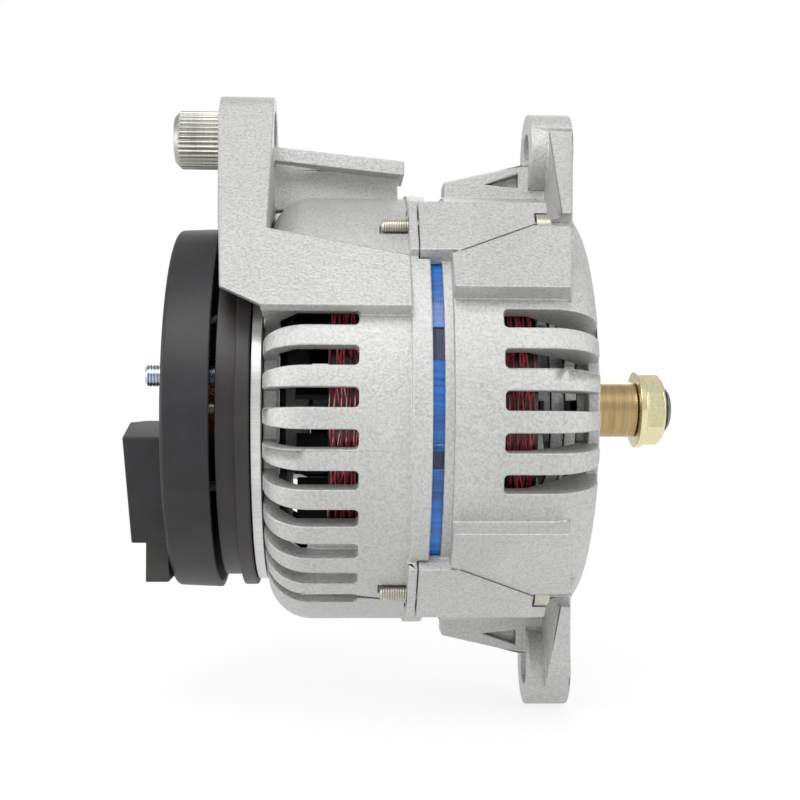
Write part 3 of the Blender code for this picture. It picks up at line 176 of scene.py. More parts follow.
# Front shield. Sand cast aluminium, poured in one piece with its two ears, ribs and four
# lugs, then shot blasted, and machined on the ears, the rim and the bearing seat.
weld = 0.00001
reach_past = 0.004
turn_steps = 112
bore_steps = 40
front_rim = -0.0341
front_side = 0.0745
front_wall = 0.0055
ear_height = 0.0905
ear_radius = 0.0147
ear_bore = 0.0076
ear_thick = 0.0148
ear_step = 0.0008
arm_back = 0.0055
arm_front = ear_thick - ear_step
arm_foot = (0.0725, 0.0375)
arm_tuck = 0.0047
arm_ridge_low = 0.0475
arm_ridge_high = 0.0632
arm_prow = 0.0172
arm_rake = 0.18
rib_half = 0.0062
rib_web_half = 0.002
rib_tail = (-0.0298, 0.0799)
rib_root = 0.0867
rib_border = 0.0035
lug_angles = [math.radians(angle) for angle in (45, 135, 225, 315)]
lug_outer = 0.0778
lug_sides = (-0.007, 0.018)
lug_span = (-0.041, 0.001)
bolt_circle = 0.0749
bolt_angles = [math.radians(angle) for angle in (51.8, 128.2, 231.8, 308.2)]
slot_width = 0.0060
slot_pitch = math.radians(10)
front_slots = [math.radians(-17.7) + slot_pitch * index for index in range(5)]
front_slot_span = (-0.0158, 0.0125)
front_groove = 0.0045
cast_edge = 0.0005
most_corners = 30


def cast_metal(name, colour, grain_size, depth, roughness=0.55):
    """Bare cast aluminium: fine sand grain, faint darker patches and a few pores."""
    made = bpy.data.materials.new(name)
    made.use_nodes = True
    nodes, links = made.node_tree.nodes, made.node_tree.links
    shader = nodes["Principled BSDF"]
    place = nodes.new("ShaderNodeTexCoord")
    grain = nodes.new("ShaderNodeTexNoise")
    grain.inputs["Scale"].default_value = 1 / grain_size
    grain.inputs["Detail"].default_value = 4
    grain.inputs["Roughness"].default_value = 0.6
    links.new(place.outputs["Object"], grain.inputs["Vector"])
    patches = nodes.new("ShaderNodeTexNoise")
    patches.inputs["Scale"].default_value = 25
    patches.inputs["Detail"].default_value = 3
    links.new(place.outputs["Object"], patches.inputs["Vector"])
    shade = nodes.new("ShaderNodeMix")
    shade.data_type = "RGBA"
    shade.inputs["A"].default_value = (*[value * 0.95 for value in colour], 1)
    shade.inputs["B"].default_value = (*[min(1, value * 1.03) for value in colour], 1)
    spread = nodes.new("ShaderNodeMapRange")
    spread.inputs["From Min"].default_value = 0.35
    spread.inputs["From Max"].default_value = 0.65
    links.new(patches.outputs["Fac"], spread.inputs["Value"])
    links.new(spread.outputs[0], shade.inputs["Factor"])
    speckle = nodes.new("ShaderNodeMix")
    speckle.data_type = "RGBA"
    speckle.blend_type = "MULTIPLY"
    speckle.inputs["Factor"].default_value = 0.6
    tone = nodes.new("ShaderNodeMapRange")
    tone.inputs["From Min"].default_value = 0.3
    tone.inputs["From Max"].default_value = 0.6
    tone.inputs["To Min"].default_value = 0.62
    tone.inputs["To Max"].default_value = 1.08
    links.new(grain.outputs["Fac"], tone.inputs["Value"])
    links.new(shade.outputs["Result"], speckle.inputs["A"])
    links.new(tone.outputs[0], speckle.inputs["B"])
    links.new(speckle.outputs["Result"], shader.inputs["Base Color"])
    shine = nodes.new("ShaderNodeMapRange")
    shine.inputs["To Min"].default_value = roughness - 0.08
    shine.inputs["To Max"].default_value = roughness + 0.12
    links.new(grain.outputs["Fac"], shine.inputs["Value"])
    links.new(shine.outputs[0], shader.inputs["Roughness"])
    shader.inputs["Metallic"].default_value = 0.75
    bump = nodes.new("ShaderNodeBump")
    bump.inputs["Strength"].default_value = 1
    bump.inputs["Distance"].default_value = depth
    links.new(grain.outputs["Fac"], bump.inputs["Height"])
    links.new(bump.outputs["Normal"], shader.inputs["Normal"])
    return made


sand_cast = cast_metal("sand_cast_aluminium", (0.58, 0.58, 0.57), 0.0009, 0.0003)
# A near-black copy of the cast finish: painted shade for the dark inside of the shields, whose real inner alloy is the
# same cast aluminium.
painted_inner_shade = cast_metal("painted_inner_shade_casting", (0.05, 0.048, 0.046), 0.0012, 0.0002)


def mesh_of(form, name):
    mesh = bpy.data.meshes.new(name)
    form.to_mesh(mesh)
    form.free()
    return mesh


def spun(outline, steps, name="spun"):
    """Turns (x, radius) points about the shaft. The outer side runs from front to rear."""
    form = bmesh.new()
    verts = [form.verts.new((x, radius, 0)) for x, radius in outline]
    edges = [form.edges.new(pair) for pair in zip(verts, verts[1:])]
    if outline[0][1] > 0:
        edges.append(form.edges.new((verts[-1], verts[0])))
    bmesh.ops.spin(
        form,
        geom=verts + edges,
        cent=(0, 0, 0),
        axis=(1, 0, 0),
        angle=2 * math.pi,
        steps=steps,
        use_merge=True,
    )
    bmesh.ops.remove_doubles(form, verts=form.verts, dist=weld)
    bmesh.ops.recalc_face_normals(form, faces=form.faces)
    return mesh_of(form, name)


def drawn(outline, start, end, axis="X", name="drawn"):
    """Draws out a closed outline: (y, z) points along X, (x, z) along Y or (x, y) along Z."""
    form = bmesh.new()
    if axis == "X":
        verts = [form.verts.new((start, first, second)) for first, second in outline]
        travel = (end - start, 0, 0)
    elif axis == "Y":
        verts = [form.verts.new((first, start, second)) for first, second in outline]
        travel = (0, end - start, 0)
    else:
        verts = [form.verts.new((first, second, start)) for first, second in outline]
        travel = (0, 0, end - start)
    face = form.faces.new(verts)
    moved = bmesh.ops.extrude_face_region(form, geom=[face])["geom"]
    moved = [item for item in moved if isinstance(item, bmesh.types.BMVert)]
    bmesh.ops.translate(form, vec=travel, verts=moved)
    bmesh.ops.recalc_face_normals(form, faces=form.faces)
    return mesh_of(form, name)


def placed(mesh, angle=0, x=0, y=0, z=0):
    """Moves a mesh, then turns it about the shaft from +Y towards +Z."""
    mesh.transform(Matrix.Rotation(angle, 4, "X") @ Matrix.Translation((x, y, z)))
    return mesh


def gathered(meshes):
    form = bmesh.new()
    for mesh in meshes:
        form.from_mesh(mesh)
    return mesh_of(form, "gathered")


def carved(mesh, other, operation="DIFFERENCE"):
    """Cuts one mesh with another, or joins them."""
    body = bpy.data.objects.new("body", mesh)
    tool = bpy.data.objects.new("tool", other)
    for item in (body, tool):
        bpy.context.scene.collection.objects.link(item)
    step = body.modifiers.new("step", "BOOLEAN")
    step.operation = operation
    step.solver = "EXACT"
    step.object = tool
    bpy.context.view_layer.update()
    graph = bpy.context.evaluated_depsgraph_get()
    result = bpy.data.meshes.new_from_object(body.evaluated_get(graph))
    bpy.data.objects.remove(body)
    bpy.data.objects.remove(tool)
    form = bmesh.new()
    form.from_mesh(result)
    bmesh.ops.remove_doubles(form, verts=form.verts, dist=weld)
    bmesh.ops.dissolve_degenerate(form, edges=form.edges, dist=weld)
    form.to_mesh(result)
    form.free()
    return result


def union(mesh, *others):
    for other in others:
        mesh = carved(mesh, other, "UNION")
    return mesh


def arc(centre, radius, first, last, count):
    """Points of an arc, its ends included."""
    return [
        (
            centre[0] + radius * math.cos(first + (last - first) * index / count),
            centre[1] + radius * math.sin(first + (last - first) * index / count),
        )
        for index in range(count + 1)
    ]


def rod(start, end, radius, steps=bore_steps):
    return drawn(arc((0, 0), radius, 0, 2 * math.pi * (1 - 1 / steps), steps - 1), start, end)


def box_between(low, high):
    form = bmesh.new()
    bmesh.ops.create_cube(form, size=1)
    bmesh.ops.scale(form, vec=Vector(high) - Vector(low), verts=form.verts)
    bmesh.ops.translate(form, vec=(Vector(high) + Vector(low)) / 2, verts=form.verts)
    return mesh_of(form, "box")


def slot_cutters(angles, span, inner, outer, width):
    """Radial slots on both flanks. Each has two rounded corners at the end it starts from."""
    half = width / 2
    away = 1 if span[0] < span[1] else -1
    bend = 0.0014
    corner = arc((span[0] + bend, half - bend), bend, math.pi / 2, math.pi, 4)
    turn = corner + [(x, -z) for x, z in reversed(corner)]
    if away < 0:
        turn = [(2 * span[0] - x, z) for x, z in turn]
    outline = [*turn, (span[1], -half), (span[1], half)]
    made = []
    for angle in angles:
        for turned_to in (angle, math.pi - angle):
            made.append(placed(drawn(outline, inner, outer, "Y"), turned_to))
    return gathered(made)


def keeps_shape(piece, material, width, segments=2, limit=32):
    """Finishes a piece: its material, smooth round faces, and a small round on every edge."""
    piece.data.materials.clear()
    piece.data.materials.append(material)
    piece.data.shade_smooth()
    piece.data.set_sharp_from_angle(angle=math.radians(limit))
    if width:
        edge = piece.modifiers.new("edge", "BEVEL")
        edge.width = width
        edge.segments = segments
        edge.limit_method = "ANGLE"
        edge.angle_limit = math.radians(limit)
        edge.use_clamp_overlap = False
        edge.harden_normals = True
    return piece


def piece_from(name, mesh, material, body, width=0, segments=2, replaces=()):
    form = bmesh.new()
    form.from_mesh(mesh)
    bmesh.ops.remove_doubles(form, verts=form.verts, dist=2 * weld)
    bmesh.ops.dissolve_limit(form, angle_limit=math.radians(0.7), verts=form.verts, edges=form.edges)
    bmesh.ops.triangulate(form, faces=[face for face in form.faces if len(face.verts) > most_corners])
    form.to_mesh(mesh)
    form.free()
    piece = bpy.data.objects.new(name, mesh)
    bpy.context.scene.collection.objects.link(piece)
    keeps_shape(piece, material, width, segments)
    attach(piece, body)
    if replaces:
        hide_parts(*replaces)
    return piece


def darkens_inside(piece, material, span, radius, facing):
    """Paints shade on the faces of a casting that look inwards, as a second, darker material."""
    piece.data.materials.append(material)
    for face in piece.data.polygons:
        x, y, z = face.center
        reach = math.hypot(y, z)
        inward = face.normal.y * y + face.normal.z * z < -0.2 * reach or face.normal.x * facing > 0.7
        if inward and span[0] < x < span[1] and reach < radius:
            face.material_index = 1


def ear_outline(height, radius, foot, tuck, count=28):
    """An ear's round top, with straight sides down to two feet that tuck in under them."""
    down = foot[1] - height
    angle = math.atan2(down, foot[0]) + math.acos(radius / math.hypot(foot[0], down))
    top = arc((0, height), radius, angle, math.pi - angle, count)
    return [(foot[0] - 2 * tuck, foot[1] - tuck), foot, *top, (-foot[0], foot[1]), (2 * tuck - foot[0], foot[1] - tuck)]


def front_form(drop):
    """The drum and the domed face of the shield. A drop gives the floor of its grooves."""
    side = front_side - drop
    shoulder = []
    for index in range(13):
        angle = math.pi / 2 * (1 - index / 12)
        shoulder.append((0.0152 - drop - 0.0165 * (1 - math.sin(angle)), side - 0.0125 * (1 - math.cos(angle))))
    return spun(
        [
            (0.0228 - drop, 0),
            (0.0228 - drop, 0.0226),
            (0.0188 - drop, 0.0434),
            *shoulder,
            (front_rim + 0.003, side),
            (front_rim + 0.003, side - 0.0015 + drop / 2),
            (front_rim, side - 0.0015 + drop / 2),
            (front_rim, 0),
        ],
        turn_steps,
    )


def front_hollow():
    room = front_side - front_wall
    return spun(
        [
            (0.0268, 0),
            (0.0268, 0.0104),
            (0.0195, 0.0104),
            (0.0195, 0.0238),
            (0.0052, 0.0238),
            (0.0052, 0.0279),
            (0.0097, 0.0279),
            (0.0097, 0.0538),
            (0.0025, 0.062),
            (-0.0085, room),
            (-0.0166, room),
            (-0.0166, 0.0718),
            (-0.045, 0.0718),
            (-0.045, 0),
        ],
        96,
    )


def front_ear_arm():
    outline = ear_outline(ear_height, ear_radius - ear_step, arm_foot, arm_tuck)
    arm = drawn(outline, front_rim + 0.003, arm_front)
    slope = (arm_ridge_high - arm_ridge_low) / (arm_back - front_rim)
    back = front_rim - reach_past
    ceiling = ear_height + ear_radius + reach_past
    scrap = drawn(
        [
            (back, arm_ridge_low - reach_past * slope),
            (arm_back, arm_ridge_high),
            (arm_back + 0.0012, ceiling),
            (back, ceiling),
        ],
        -front_side,
        front_side,
        "Y",
    )
    reach = 0.0778
    prow = [
        (arm_prow, 0),
        (arm_prow - arm_rake * reach, reach),
        (ear_thick + reach_past, reach),
        (ear_thick + reach_past, -reach),
        (arm_prow - arm_rake * reach, -reach),
    ]
    arm = carved(carved(arm, scrap), drawn(prow, 0, ceiling, "Z"))
    boss = placed(rod(0, ear_thick, ear_radius, 56), z=ear_height)
    rib = drawn(
        [
            (rib_tail[0], 0.0715),
            (arm_back + 0.0012, 0.0715),
            (arm_back + 0.0012, rib_root + rib_border),
            (0, rib_root),
            rib_tail,
        ],
        -rib_half,
        rib_half,
        "Y",
    )
    pocket = [
        (rib_tail[0] / 2, rib_tail[1] - 0.0006),
        (-rib_border, rib_tail[1] - rib_border / 2),
        (-rib_border, rib_root - rib_border),
    ]
    near = drawn(pocket, -rib_half - reach_past, -rib_web_half, "Y")
    far = drawn(pocket, rib_web_half, rib_half + reach_past, "Y")
    return union(arm, boss, carved(rib, gathered([near, far])))


upper = front_ear_arm()
lower = placed(upper.copy(), math.pi)
shield = union(front_form(0), upper, lower)


def lugs(span, grow=0):
    """The four blocks at a shield's rim that the through bolts pass, or room for them."""
    made = []
    for angle in lug_angles:
        low, high = lug_sides if math.tan(angle) > 0 else (-lug_sides[1], -lug_sides[0])
        made.append(placed(box_between((span[0], 0.0675, low - grow), (span[1], lug_outer + grow, high + grow)), angle))
    return gathered(made)


shield = union(shield, lugs(lug_span))
grooves = slot_cutters(front_slots, (front_slot_span[0], 0.0228), 0.0565, 0.0785, slot_width)
shield = carved(shield, carved(grooves, front_form(front_groove)))
shield = carved(shield, slot_cutters(front_slots, front_slot_span, 0.051, 0.0785, slot_width))
shield = carved(shield, front_hollow())
ears = [placed(rod(-reach_past, ear_thick + reach_past, ear_bore), angle, z=ear_height) for angle in (0, math.pi)]
shanks = [placed(rod(-0.045, 0.0192, 0.0026, 24), angle, y=bolt_circle) for angle in bolt_angles]
heads = [placed(rod(-0.0035, 0.0192, 0.0047, 36), angle, y=bolt_circle) for angle in bolt_angles]
for cutters in (ears, shanks, heads):
    shield = carved(shield, gathered(cutters))
windows = []
for index in range(10):
    low_half = math.pi * 0.0285 / 10 - 0.003
    high_half = math.pi * 0.0485 / 10 - 0.003
    outline = [(0.0285, -low_half), (0.0485, -high_half), (0.0485, high_half), (0.0285, low_half)]
    windows.append(placed(drawn(outline, 0.0057, 0.0268), 2 * math.pi * (index + 0.5) / 10))
shield = carved(shield, gathered(windows))
casting = piece_from(
    "front_shield_casting",
    shield,
    sand_cast,
    "machine_frame",
    cast_edge,
    replaces=["front_housing"],
)
# The faces of the front shield that look inwards get painted shade.
darkens_inside(casting, painted_inner_shade, (-0.02, 0.0099), 0.0695, -1)


# Drive end bearing. A sealed ball bearing of ground and polished chrome steel, bought in
# ready made and pressed into the shield's seat. A stamped plate keeps it there.
def surface(name, colour, other, size, roughness, metallic=0.0, depth=0.0, stretch=(1, 1, 1), coat=0.0):
    """A finish with a broad drift between two colours and a fine grain that the light catches."""
    made = bpy.data.materials.new(name)
    made.use_nodes = True
    nodes, links = made.node_tree.nodes, made.node_tree.links
    shader = nodes["Principled BSDF"]
    place = nodes.new("ShaderNodeTexCoord")
    pull = nodes.new("ShaderNodeMapping")
    pull.inputs["Scale"].default_value = stretch
    links.new(place.outputs["Object"], pull.inputs["Vector"])
    found = []
    for scale, detail in ((1 / size, 4), (1 / (size * 22), 2)):
        noise = nodes.new("ShaderNodeTexNoise")
        noise.inputs["Scale"].default_value = scale
        noise.inputs["Detail"].default_value = detail
        links.new(pull.outputs["Vector"], noise.inputs["Vector"])
        found.append(noise.outputs["Fac"])
    both = nodes.new("ShaderNodeMath")
    both.operation = "ADD"
    links.new(found[0], both.inputs[0])
    links.new(found[1], both.inputs[1])
    spread = nodes.new("ShaderNodeMapRange")
    spread.inputs["From Min"].default_value = 0.75
    spread.inputs["From Max"].default_value = 1.25
    links.new(both.outputs[0], spread.inputs["Value"])
    blend = nodes.new("ShaderNodeMix")
    blend.data_type = "RGBA"
    blend.inputs["A"].default_value = (*other, 1)
    blend.inputs["B"].default_value = (*colour, 1)
    links.new(spread.outputs[0], blend.inputs["Factor"])
    links.new(blend.outputs["Result"], shader.inputs["Base Color"])
    shine = nodes.new("ShaderNodeMapRange")
    shine.inputs["To Min"].default_value = max(0.05, roughness - 0.08)
    shine.inputs["To Max"].default_value = roughness + 0.1
    links.new(found[0], shine.inputs["Value"])
    links.new(shine.outputs[0], shader.inputs["Roughness"])
    shader.inputs["Metallic"].default_value = metallic
    shader.inputs["Coat Weight"].default_value = coat
    if depth:
        bump = nodes.new("ShaderNodeBump")
        bump.inputs["Distance"].default_value = depth
        links.new(found[0], bump.inputs["Height"])
        links.new(bump.outputs["Normal"], shader.inputs["Normal"])
    return made


def dressed(material, *names):
    """Gives pieces of the CAD model their finish and smooth round faces."""
    for name in names:
        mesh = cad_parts[name].data
        mesh.materials.clear()
        mesh.materials.append(material)
        mesh.shade_smooth()
        mesh.set_sharp_from_angle(angle=math.radians(28))


ring_marks = (1, 0.05, 0.05)
bearing_steel = surface("ground_bearing_steel", (0.62, 0.62, 0.63), (0.5, 0.5, 0.52), 0.0002, 0.2, 1, 0.000004, ring_marks)
ball_steel = surface("polished_ball_steel", (0.7, 0.7, 0.72), (0.62, 0.62, 0.64), 0.0004, 0.1, 1)
plate_steel = surface("stamped_plate_steel", (0.42, 0.42, 0.43), (0.3, 0.3, 0.31), 0.0005, 0.4, 1, 0.00001)
dressed(bearing_steel, "front_bearing_outer_race", "front_bearing_inner_race")
dressed(ball_steel, "front_bearing_balls")
dressed(plate_steel, "bearing_retainer")


# Stator core. Stamped steel laminations, stacked, welded along four seams and dipped in blue
# lacquer, so the band between the shields shows the fine edges of the sheets.
core_span = (-0.0577, -0.0169)
core_radius = 0.0715
core_bore = 0.0516
tooth_count = 24


def lamination_blue(name, bright, deep):
    """Blue lacquer over the fine edges of stacked sheets."""
    made = surface(name, bright, deep, 0.0016, 0.3, 0, 0, (0.1, 1, 1), 0.35)
    nodes, links = made.node_tree.nodes, made.node_tree.links
    shader = nodes["Principled BSDF"]
    place = nodes.new("ShaderNodeTexCoord")
    sheets = nodes.new("ShaderNodeTexWave")
    sheets.bands_direction = "X"
    sheets.inputs["Scale"].default_value = 640
    sheets.inputs["Distortion"].default_value = 0.4
    sheets.inputs["Detail"].default_value = 2
    links.new(place.outputs["Object"], sheets.inputs["Vector"])
    bump = nodes.new("ShaderNodeBump")
    bump.inputs["Strength"].default_value = 0.5
    bump.inputs["Distance"].default_value = 0.00008
    links.new(sheets.outputs["Fac"], bump.inputs["Height"])
    links.new(bump.outputs["Normal"], shader.inputs["Normal"])
    return made


core = spun([(core_span[1], core_radius), (core_span[0], core_radius), (core_span[0], core_bore), (core_span[1], core_bore)], 144)
slots = []
for index in range(tooth_count):
    slot = box_between((core_span[0] - reach_past, core_bore - reach_past, -0.0035), (core_span[1] + reach_past, core_bore + 0.0115, 0.0035))
    slots.append(placed(slot, 2 * math.pi * (index + 0.5) / tooth_count))
seams = []
for angle, half in ((16.5, 0.0052), (-12.3, 0.0028)):
    low = (core_span[0] - reach_past, 0.0706, -half)
    high = (core_span[1] + reach_past, 0.0755, half)
    for turned_to in (angle, 180 - angle):
        seams.append(placed(box_between(low, high), math.radians(turned_to)))
core = carved(carved(core, gathered(slots)), gathered(seams))
laminations = piece_from(
    "stator_laminations",
    core,
    lamination_blue("blue_lacquered_laminations", (0.02, 0.21, 0.72), (0.006, 0.06, 0.24)),
    "machine_frame",
    0.0003,
    1,
    ["stator_core"],
)
# The floors of the four weld seams get a deep navy: painted shade in these recesses.
laminations.data.materials.append(lamination_blue("painted_seam_shade_lacquer", (0.004, 0.03, 0.12), (0.002, 0.012, 0.05)))
for face in laminations.data.polygons:
    x, y, z = face.center
    if 0.0700 < math.hypot(y, z) < 0.0713 and face.normal.y * y + face.normal.z * z > 0.05:
        face.material_index = 1


# Stator winding. Enamelled copper wire in red and dark lacquer, wound through the slots of
# the core with its loops bent over at both ends, then bound and dipped in resin.
wire_radius = 0.0003
slot_wire_radius = 0.00085
wire_rows = 7
row_step = 0.0016
loop_pitch = 2 * math.pi / tooth_count


def wires(paths, radius, sides, name):
    """Round wire along each path of points."""
    form = bmesh.new()
    for path in paths:
        last = None
        for index, point in enumerate(path):
            before = path[max(0, index - 1)]
            after = path[min(len(path) - 1, index + 1)]
            along = (Vector(after) - Vector(before)).normalized()
            side = along.cross(Vector((1, 0.01, 0.02))).normalized()
            if side.length < 0.5:
                side = along.orthogonal().normalized()
            up = along.cross(side)
            ring = []
            for step in range(sides):
                angle = 2 * math.pi * step / sides
                ring.append(form.verts.new(Vector(point) + radius * (side * math.cos(angle) + up * math.sin(angle))))
            if last:
                for step in range(sides):
                    form.faces.new((last[step], last[step - 1], ring[step - 1], ring[step]))
            else:
                form.faces.new(ring)
            last = ring
        form.faces.new(list(reversed(last)))
    bmesh.ops.recalc_face_normals(form, faces=form.faces)
    return mesh_of(form, name)


def end_loops(face_x, away):
    """Loops at one end of the core. Each leaves one slot, crosses the bed and comes back three on."""
    found = []
    for tooth in range(tooth_count):
        for row in range(wire_rows):
            stray = 0.0005 * math.sin(2.4 * tooth + 1.7 * row)
            path = []
            for step in range(15):
                share = step / 14
                rise = math.sin(math.pi * share) ** 0.4
                angle = loop_pitch * (tooth + 0.5 + 3 * share) + 0.02 * (row % 3)
                radius = core_bore + 0.0100 + 0.0030 * rise + 0.0002 * (row % 2)
                drift = row_step * (row + 0.7) + stray + 0.0014 * (share - 0.5)
                path.append((face_x + away * (0.0004 + drift * rise), radius * math.cos(angle), radius * math.sin(angle)))
            found.append(path)
    return found


def slot_wires():
    found = []
    for tooth in range(tooth_count):
        angle = loop_pitch * (tooth + 0.5)
        for row in range(5):
            for side in (-1, 1):
                radius = core_bore + 0.0026 + row * 0.0019
                turn = angle + side * 0.0011 / radius
                y, z = radius * math.cos(turn), radius * math.sin(turn)
                found.append([(core_span[0] - 0.002, y, z), (core_span[1] + 0.002, y, z)])
    return found


red_enamel = surface("red_enamelled_wire", (0.75, 0.12, 0.15), (0.1, 0.01, 0.015), 0.004, 0.22, 0.1, 0, (1, 1, 1), 0.6)
dark_resin = surface("dark_winding_resin", (0.02, 0.006, 0.007), (0.006, 0.004, 0.004), 0.0012, 0.3, 0, 0.0003, (1, 1, 1), 0.3)
loops = end_loops(core_span[1], 1) + end_loops(core_span[0], -1)
strands = gathered([wires(loops, wire_radius, 5, "loops"), wires(slot_wires(), slot_wire_radius, 6, "slot_wires")])
piece_from("stator_winding_wires", strands, red_enamel, "machine_frame", 0, 1, ["stator_winding"])
for name, low, high in (("front_winding_bed", core_span[1] + 0.0005, -0.0042), ("rear_winding_bed", -0.0695, core_span[0] - 0.0005)):
    bed = spun([(high, 0.0642), (low, 0.0642), (low, 0.0556), (high, 0.0556)], 96)
    piece_from(name, bed, dark_resin, "machine_frame", 0.0012, 2)


# Rotor. A turned steel shaft carries two forged claw poles round a coil of copper wire on a
# steel core. The claws are pressed on from both sides, and the shaft turns them all.
shaft_steel = surface("turned_shaft_steel", (0.3, 0.3, 0.31), (0.2, 0.2, 0.21), 0.0003, 0.3, 1, 0.000006, ring_marks)
pole_steel = surface("forged_pole_steel", (0.2, 0.19, 0.185), (0.12, 0.11, 0.105), 0.0012, 0.5, 0.9, 0.00003)
core_steel = surface("pressed_core_steel", (0.25, 0.25, 0.255), (0.17, 0.17, 0.175), 0.0006, 0.45, 1, 0.00001, ring_marks)
coil_wire = surface("wound_coil_copper", (0.6, 0.27, 0.13), (0.38, 0.15, 0.07), 0.0007, 0.3, 0.9, 0.00008, (1, 0.04, 0.04), 0.2)
dressed(pole_steel, "claw_pole_front", "claw_pole_rear")
dressed(core_steel, "rotor_core")
dressed(coil_wire, "field_coil")


def ridges(start, end, radius, pitch, depth):
    """The outline of a thread, as ridges that run from its end back to its start."""
    turns = round((end - start) / pitch)
    step = (end - start) / turns
    points = []
    for index in range(turns):
        x = end - step * index
        points += [(x - 0.15 * step, radius), (x - 0.5 * step, radius - depth), (x - 0.85 * step, radius)]
    return points


nose = [(0.0524 - 0.0014 * (1 - math.cos(step * math.pi / 16)), 0.0068 * math.sin(step * math.pi / 16)) for step in range(1, 9)]
shaft = spun(
    [
        (0.0524, 0),
        *nose,
        *ridges(0.0356, 0.0506, 0.008, 0.0015, 0.0007),
        (0.0354, 0.008),
        (0.0354, 0.0085),
        (-0.0041, 0.0085),
        (-0.0041, 0.0115),
        (-0.0757, 0.0115),
        (-0.0757, 0.0075),
        (-0.1165, 0.0075),
        (-0.1165, 0),
    ],
    64,
)
shaft = carved(shaft, rod(0.0484, 0.0564, 0.003, 6))
piece_from("turned_shaft", shaft, shaft_steel, "rotor", 0.0002, 1, ["rotor_shaft"])


# Fans. Pressed from sheet steel with blades bent up from the disc, and welded to the faces
# of the two claw poles: a bright zinc plated one in front, and one behind coloured near-black
# as painted shade for the dark inside of the rear shield.
bright_sheet = surface("bright_fan_sheet", (0.85, 0.85, 0.86), (0.7, 0.7, 0.71), 0.0007, 0.5, 0.15, 0.00003)
# The rear fan's near-black colour is painted shade.
shade_black_sheet = surface("painted_shade_fan_sheet", (0.03, 0.03, 0.032), (0.018, 0.018, 0.019), 0.0007, 0.6, 0.2, 0.00001)
dressed(bright_sheet, "front_fan")
dressed(shade_black_sheet, "rear_fan")


# Slip rings and rear bearing. Two copper rings on a moulded core are pressed on the shaft's
# tail, and a small sealed bearing of ground steel sits between them and the fan.
ring_copper = surface("turned_ring_copper", (0.72, 0.36, 0.2), (0.55, 0.25, 0.13), 0.0002, 0.22, 1, 0.000006, ring_marks)
core_resin = surface("moulded_core_resin", (0.03, 0.028, 0.026), (0.02, 0.018, 0.018), 0.0005, 0.5, 0, 0.00001)
dressed(core_resin, "slip_ring_core")
dressed(ring_copper, "slip_ring_inner", "slip_ring_outer")
dressed(bearing_steel, "rear_bearing_outer_race", "rear_bearing_inner_race")
dressed(ball_steel, "rear_bearing_balls")


# Rear shield. Sand cast in the same aluminium, with deep ribs round its rear corner for the
# cooling air and an arched ear over the cover, machined at the rim and in the ear's bore.
rear_rim = -0.0377
rear_wall = -0.0899
rear_side = 0.075
rear_corner = 0.0145
rear_flange = -0.044
rear_step = 0.0012
rear_ear_height = 0.0946
rear_ear_radius = 0.0154
rear_ear_span = (-0.1082, -0.0892)
rear_slots = [math.radians(-27) + slot_pitch * index for index in range(6)]
rear_grooves = [math.radians(-57) + slot_pitch * index for index in range(9)]


def rear_form(drop):
    """The drum of the rear shield with its rounded corner and its flange."""
    side = rear_side - drop
    corner = []
    for index in range(11):
        angle = math.pi / 2 * index / 10
        along = rear_wall + drop + rear_corner * (1 - math.sin(angle))
        corner.append((along, side - rear_corner * (1 - math.cos(angle)) - rear_step))
    return spun(
        [
            (rear_rim, 0),
            (rear_rim, side),
            (rear_flange, side),
            (rear_flange, side - rear_step),
            *corner,
            (rear_wall + drop, 0),
        ],
        turn_steps,
    )


def rear_hollow():
    return spun(
        [
            (-0.0337, 0),
            (-0.0337, 0.0718),
            (-0.058, 0.0718),
            (-0.058, 0.0683),
            (-0.0789, 0.0683),
            (-0.0844, 0.0628),
            (-0.0844, 0.0235),
            (-0.0762, 0.0235),
            (-0.0762, 0.0178),
            (-0.0875, 0.0178),
            (-0.0875, 0.0145),
            (-0.0939, 0.0145),
            (-0.0939, 0),
        ],
        96,
    )


def rear_ear_arch():
    """The ear with its arch over the cover, its forward buttress and its top flange."""
    outline = ear_outline(rear_ear_height, rear_ear_radius, (0.073, 0.0315), 0.0036)
    body = drawn(outline, rear_ear_span[0], rear_flange)
    above = drawn([(-0.0892, 0.0574), (-0.04, 0.0474), (-0.04, 0.114), (-0.0892, 0.114)], -0.079, 0.079, "Y")
    below = drawn([(-0.1122, 0.0228), (-0.0899, 0.0228), (-0.0899, 0.0315), (-0.1122, 0.0419)], -0.079, 0.079, "Y")
    opening = rod(-0.1122, -0.0872, 0.0655, 96)
    prow = [(-0.1099, 0), (-0.1008, 0.0818), (-0.1122, 0.0818), (-0.1122, -0.0818), (-0.1008, -0.0818)]
    for waste in (above, below, opening, drawn(prow, 0, 0.114, "Z")):
        body = carved(body, waste)
    top = drawn([(-0.0932, 0.086), (-0.044, 0.081), (-0.044, 0.086), (-0.0932, 0.091)], -0.012, 0.012, "Y")
    web = drawn([(-0.0912, 0.0695), (-0.046, 0.0695), (-0.046, 0.0835), (-0.0912, 0.0842)], -0.0035, 0.0035, "Y")
    top = carved(union(top, web), placed(rod(-0.0972, -0.04, 0.0111, 48), z=rear_ear_height))
    return carved(union(body, top), placed(rod(-0.1122, -0.0852, 0.0105, 48), z=rear_ear_height))


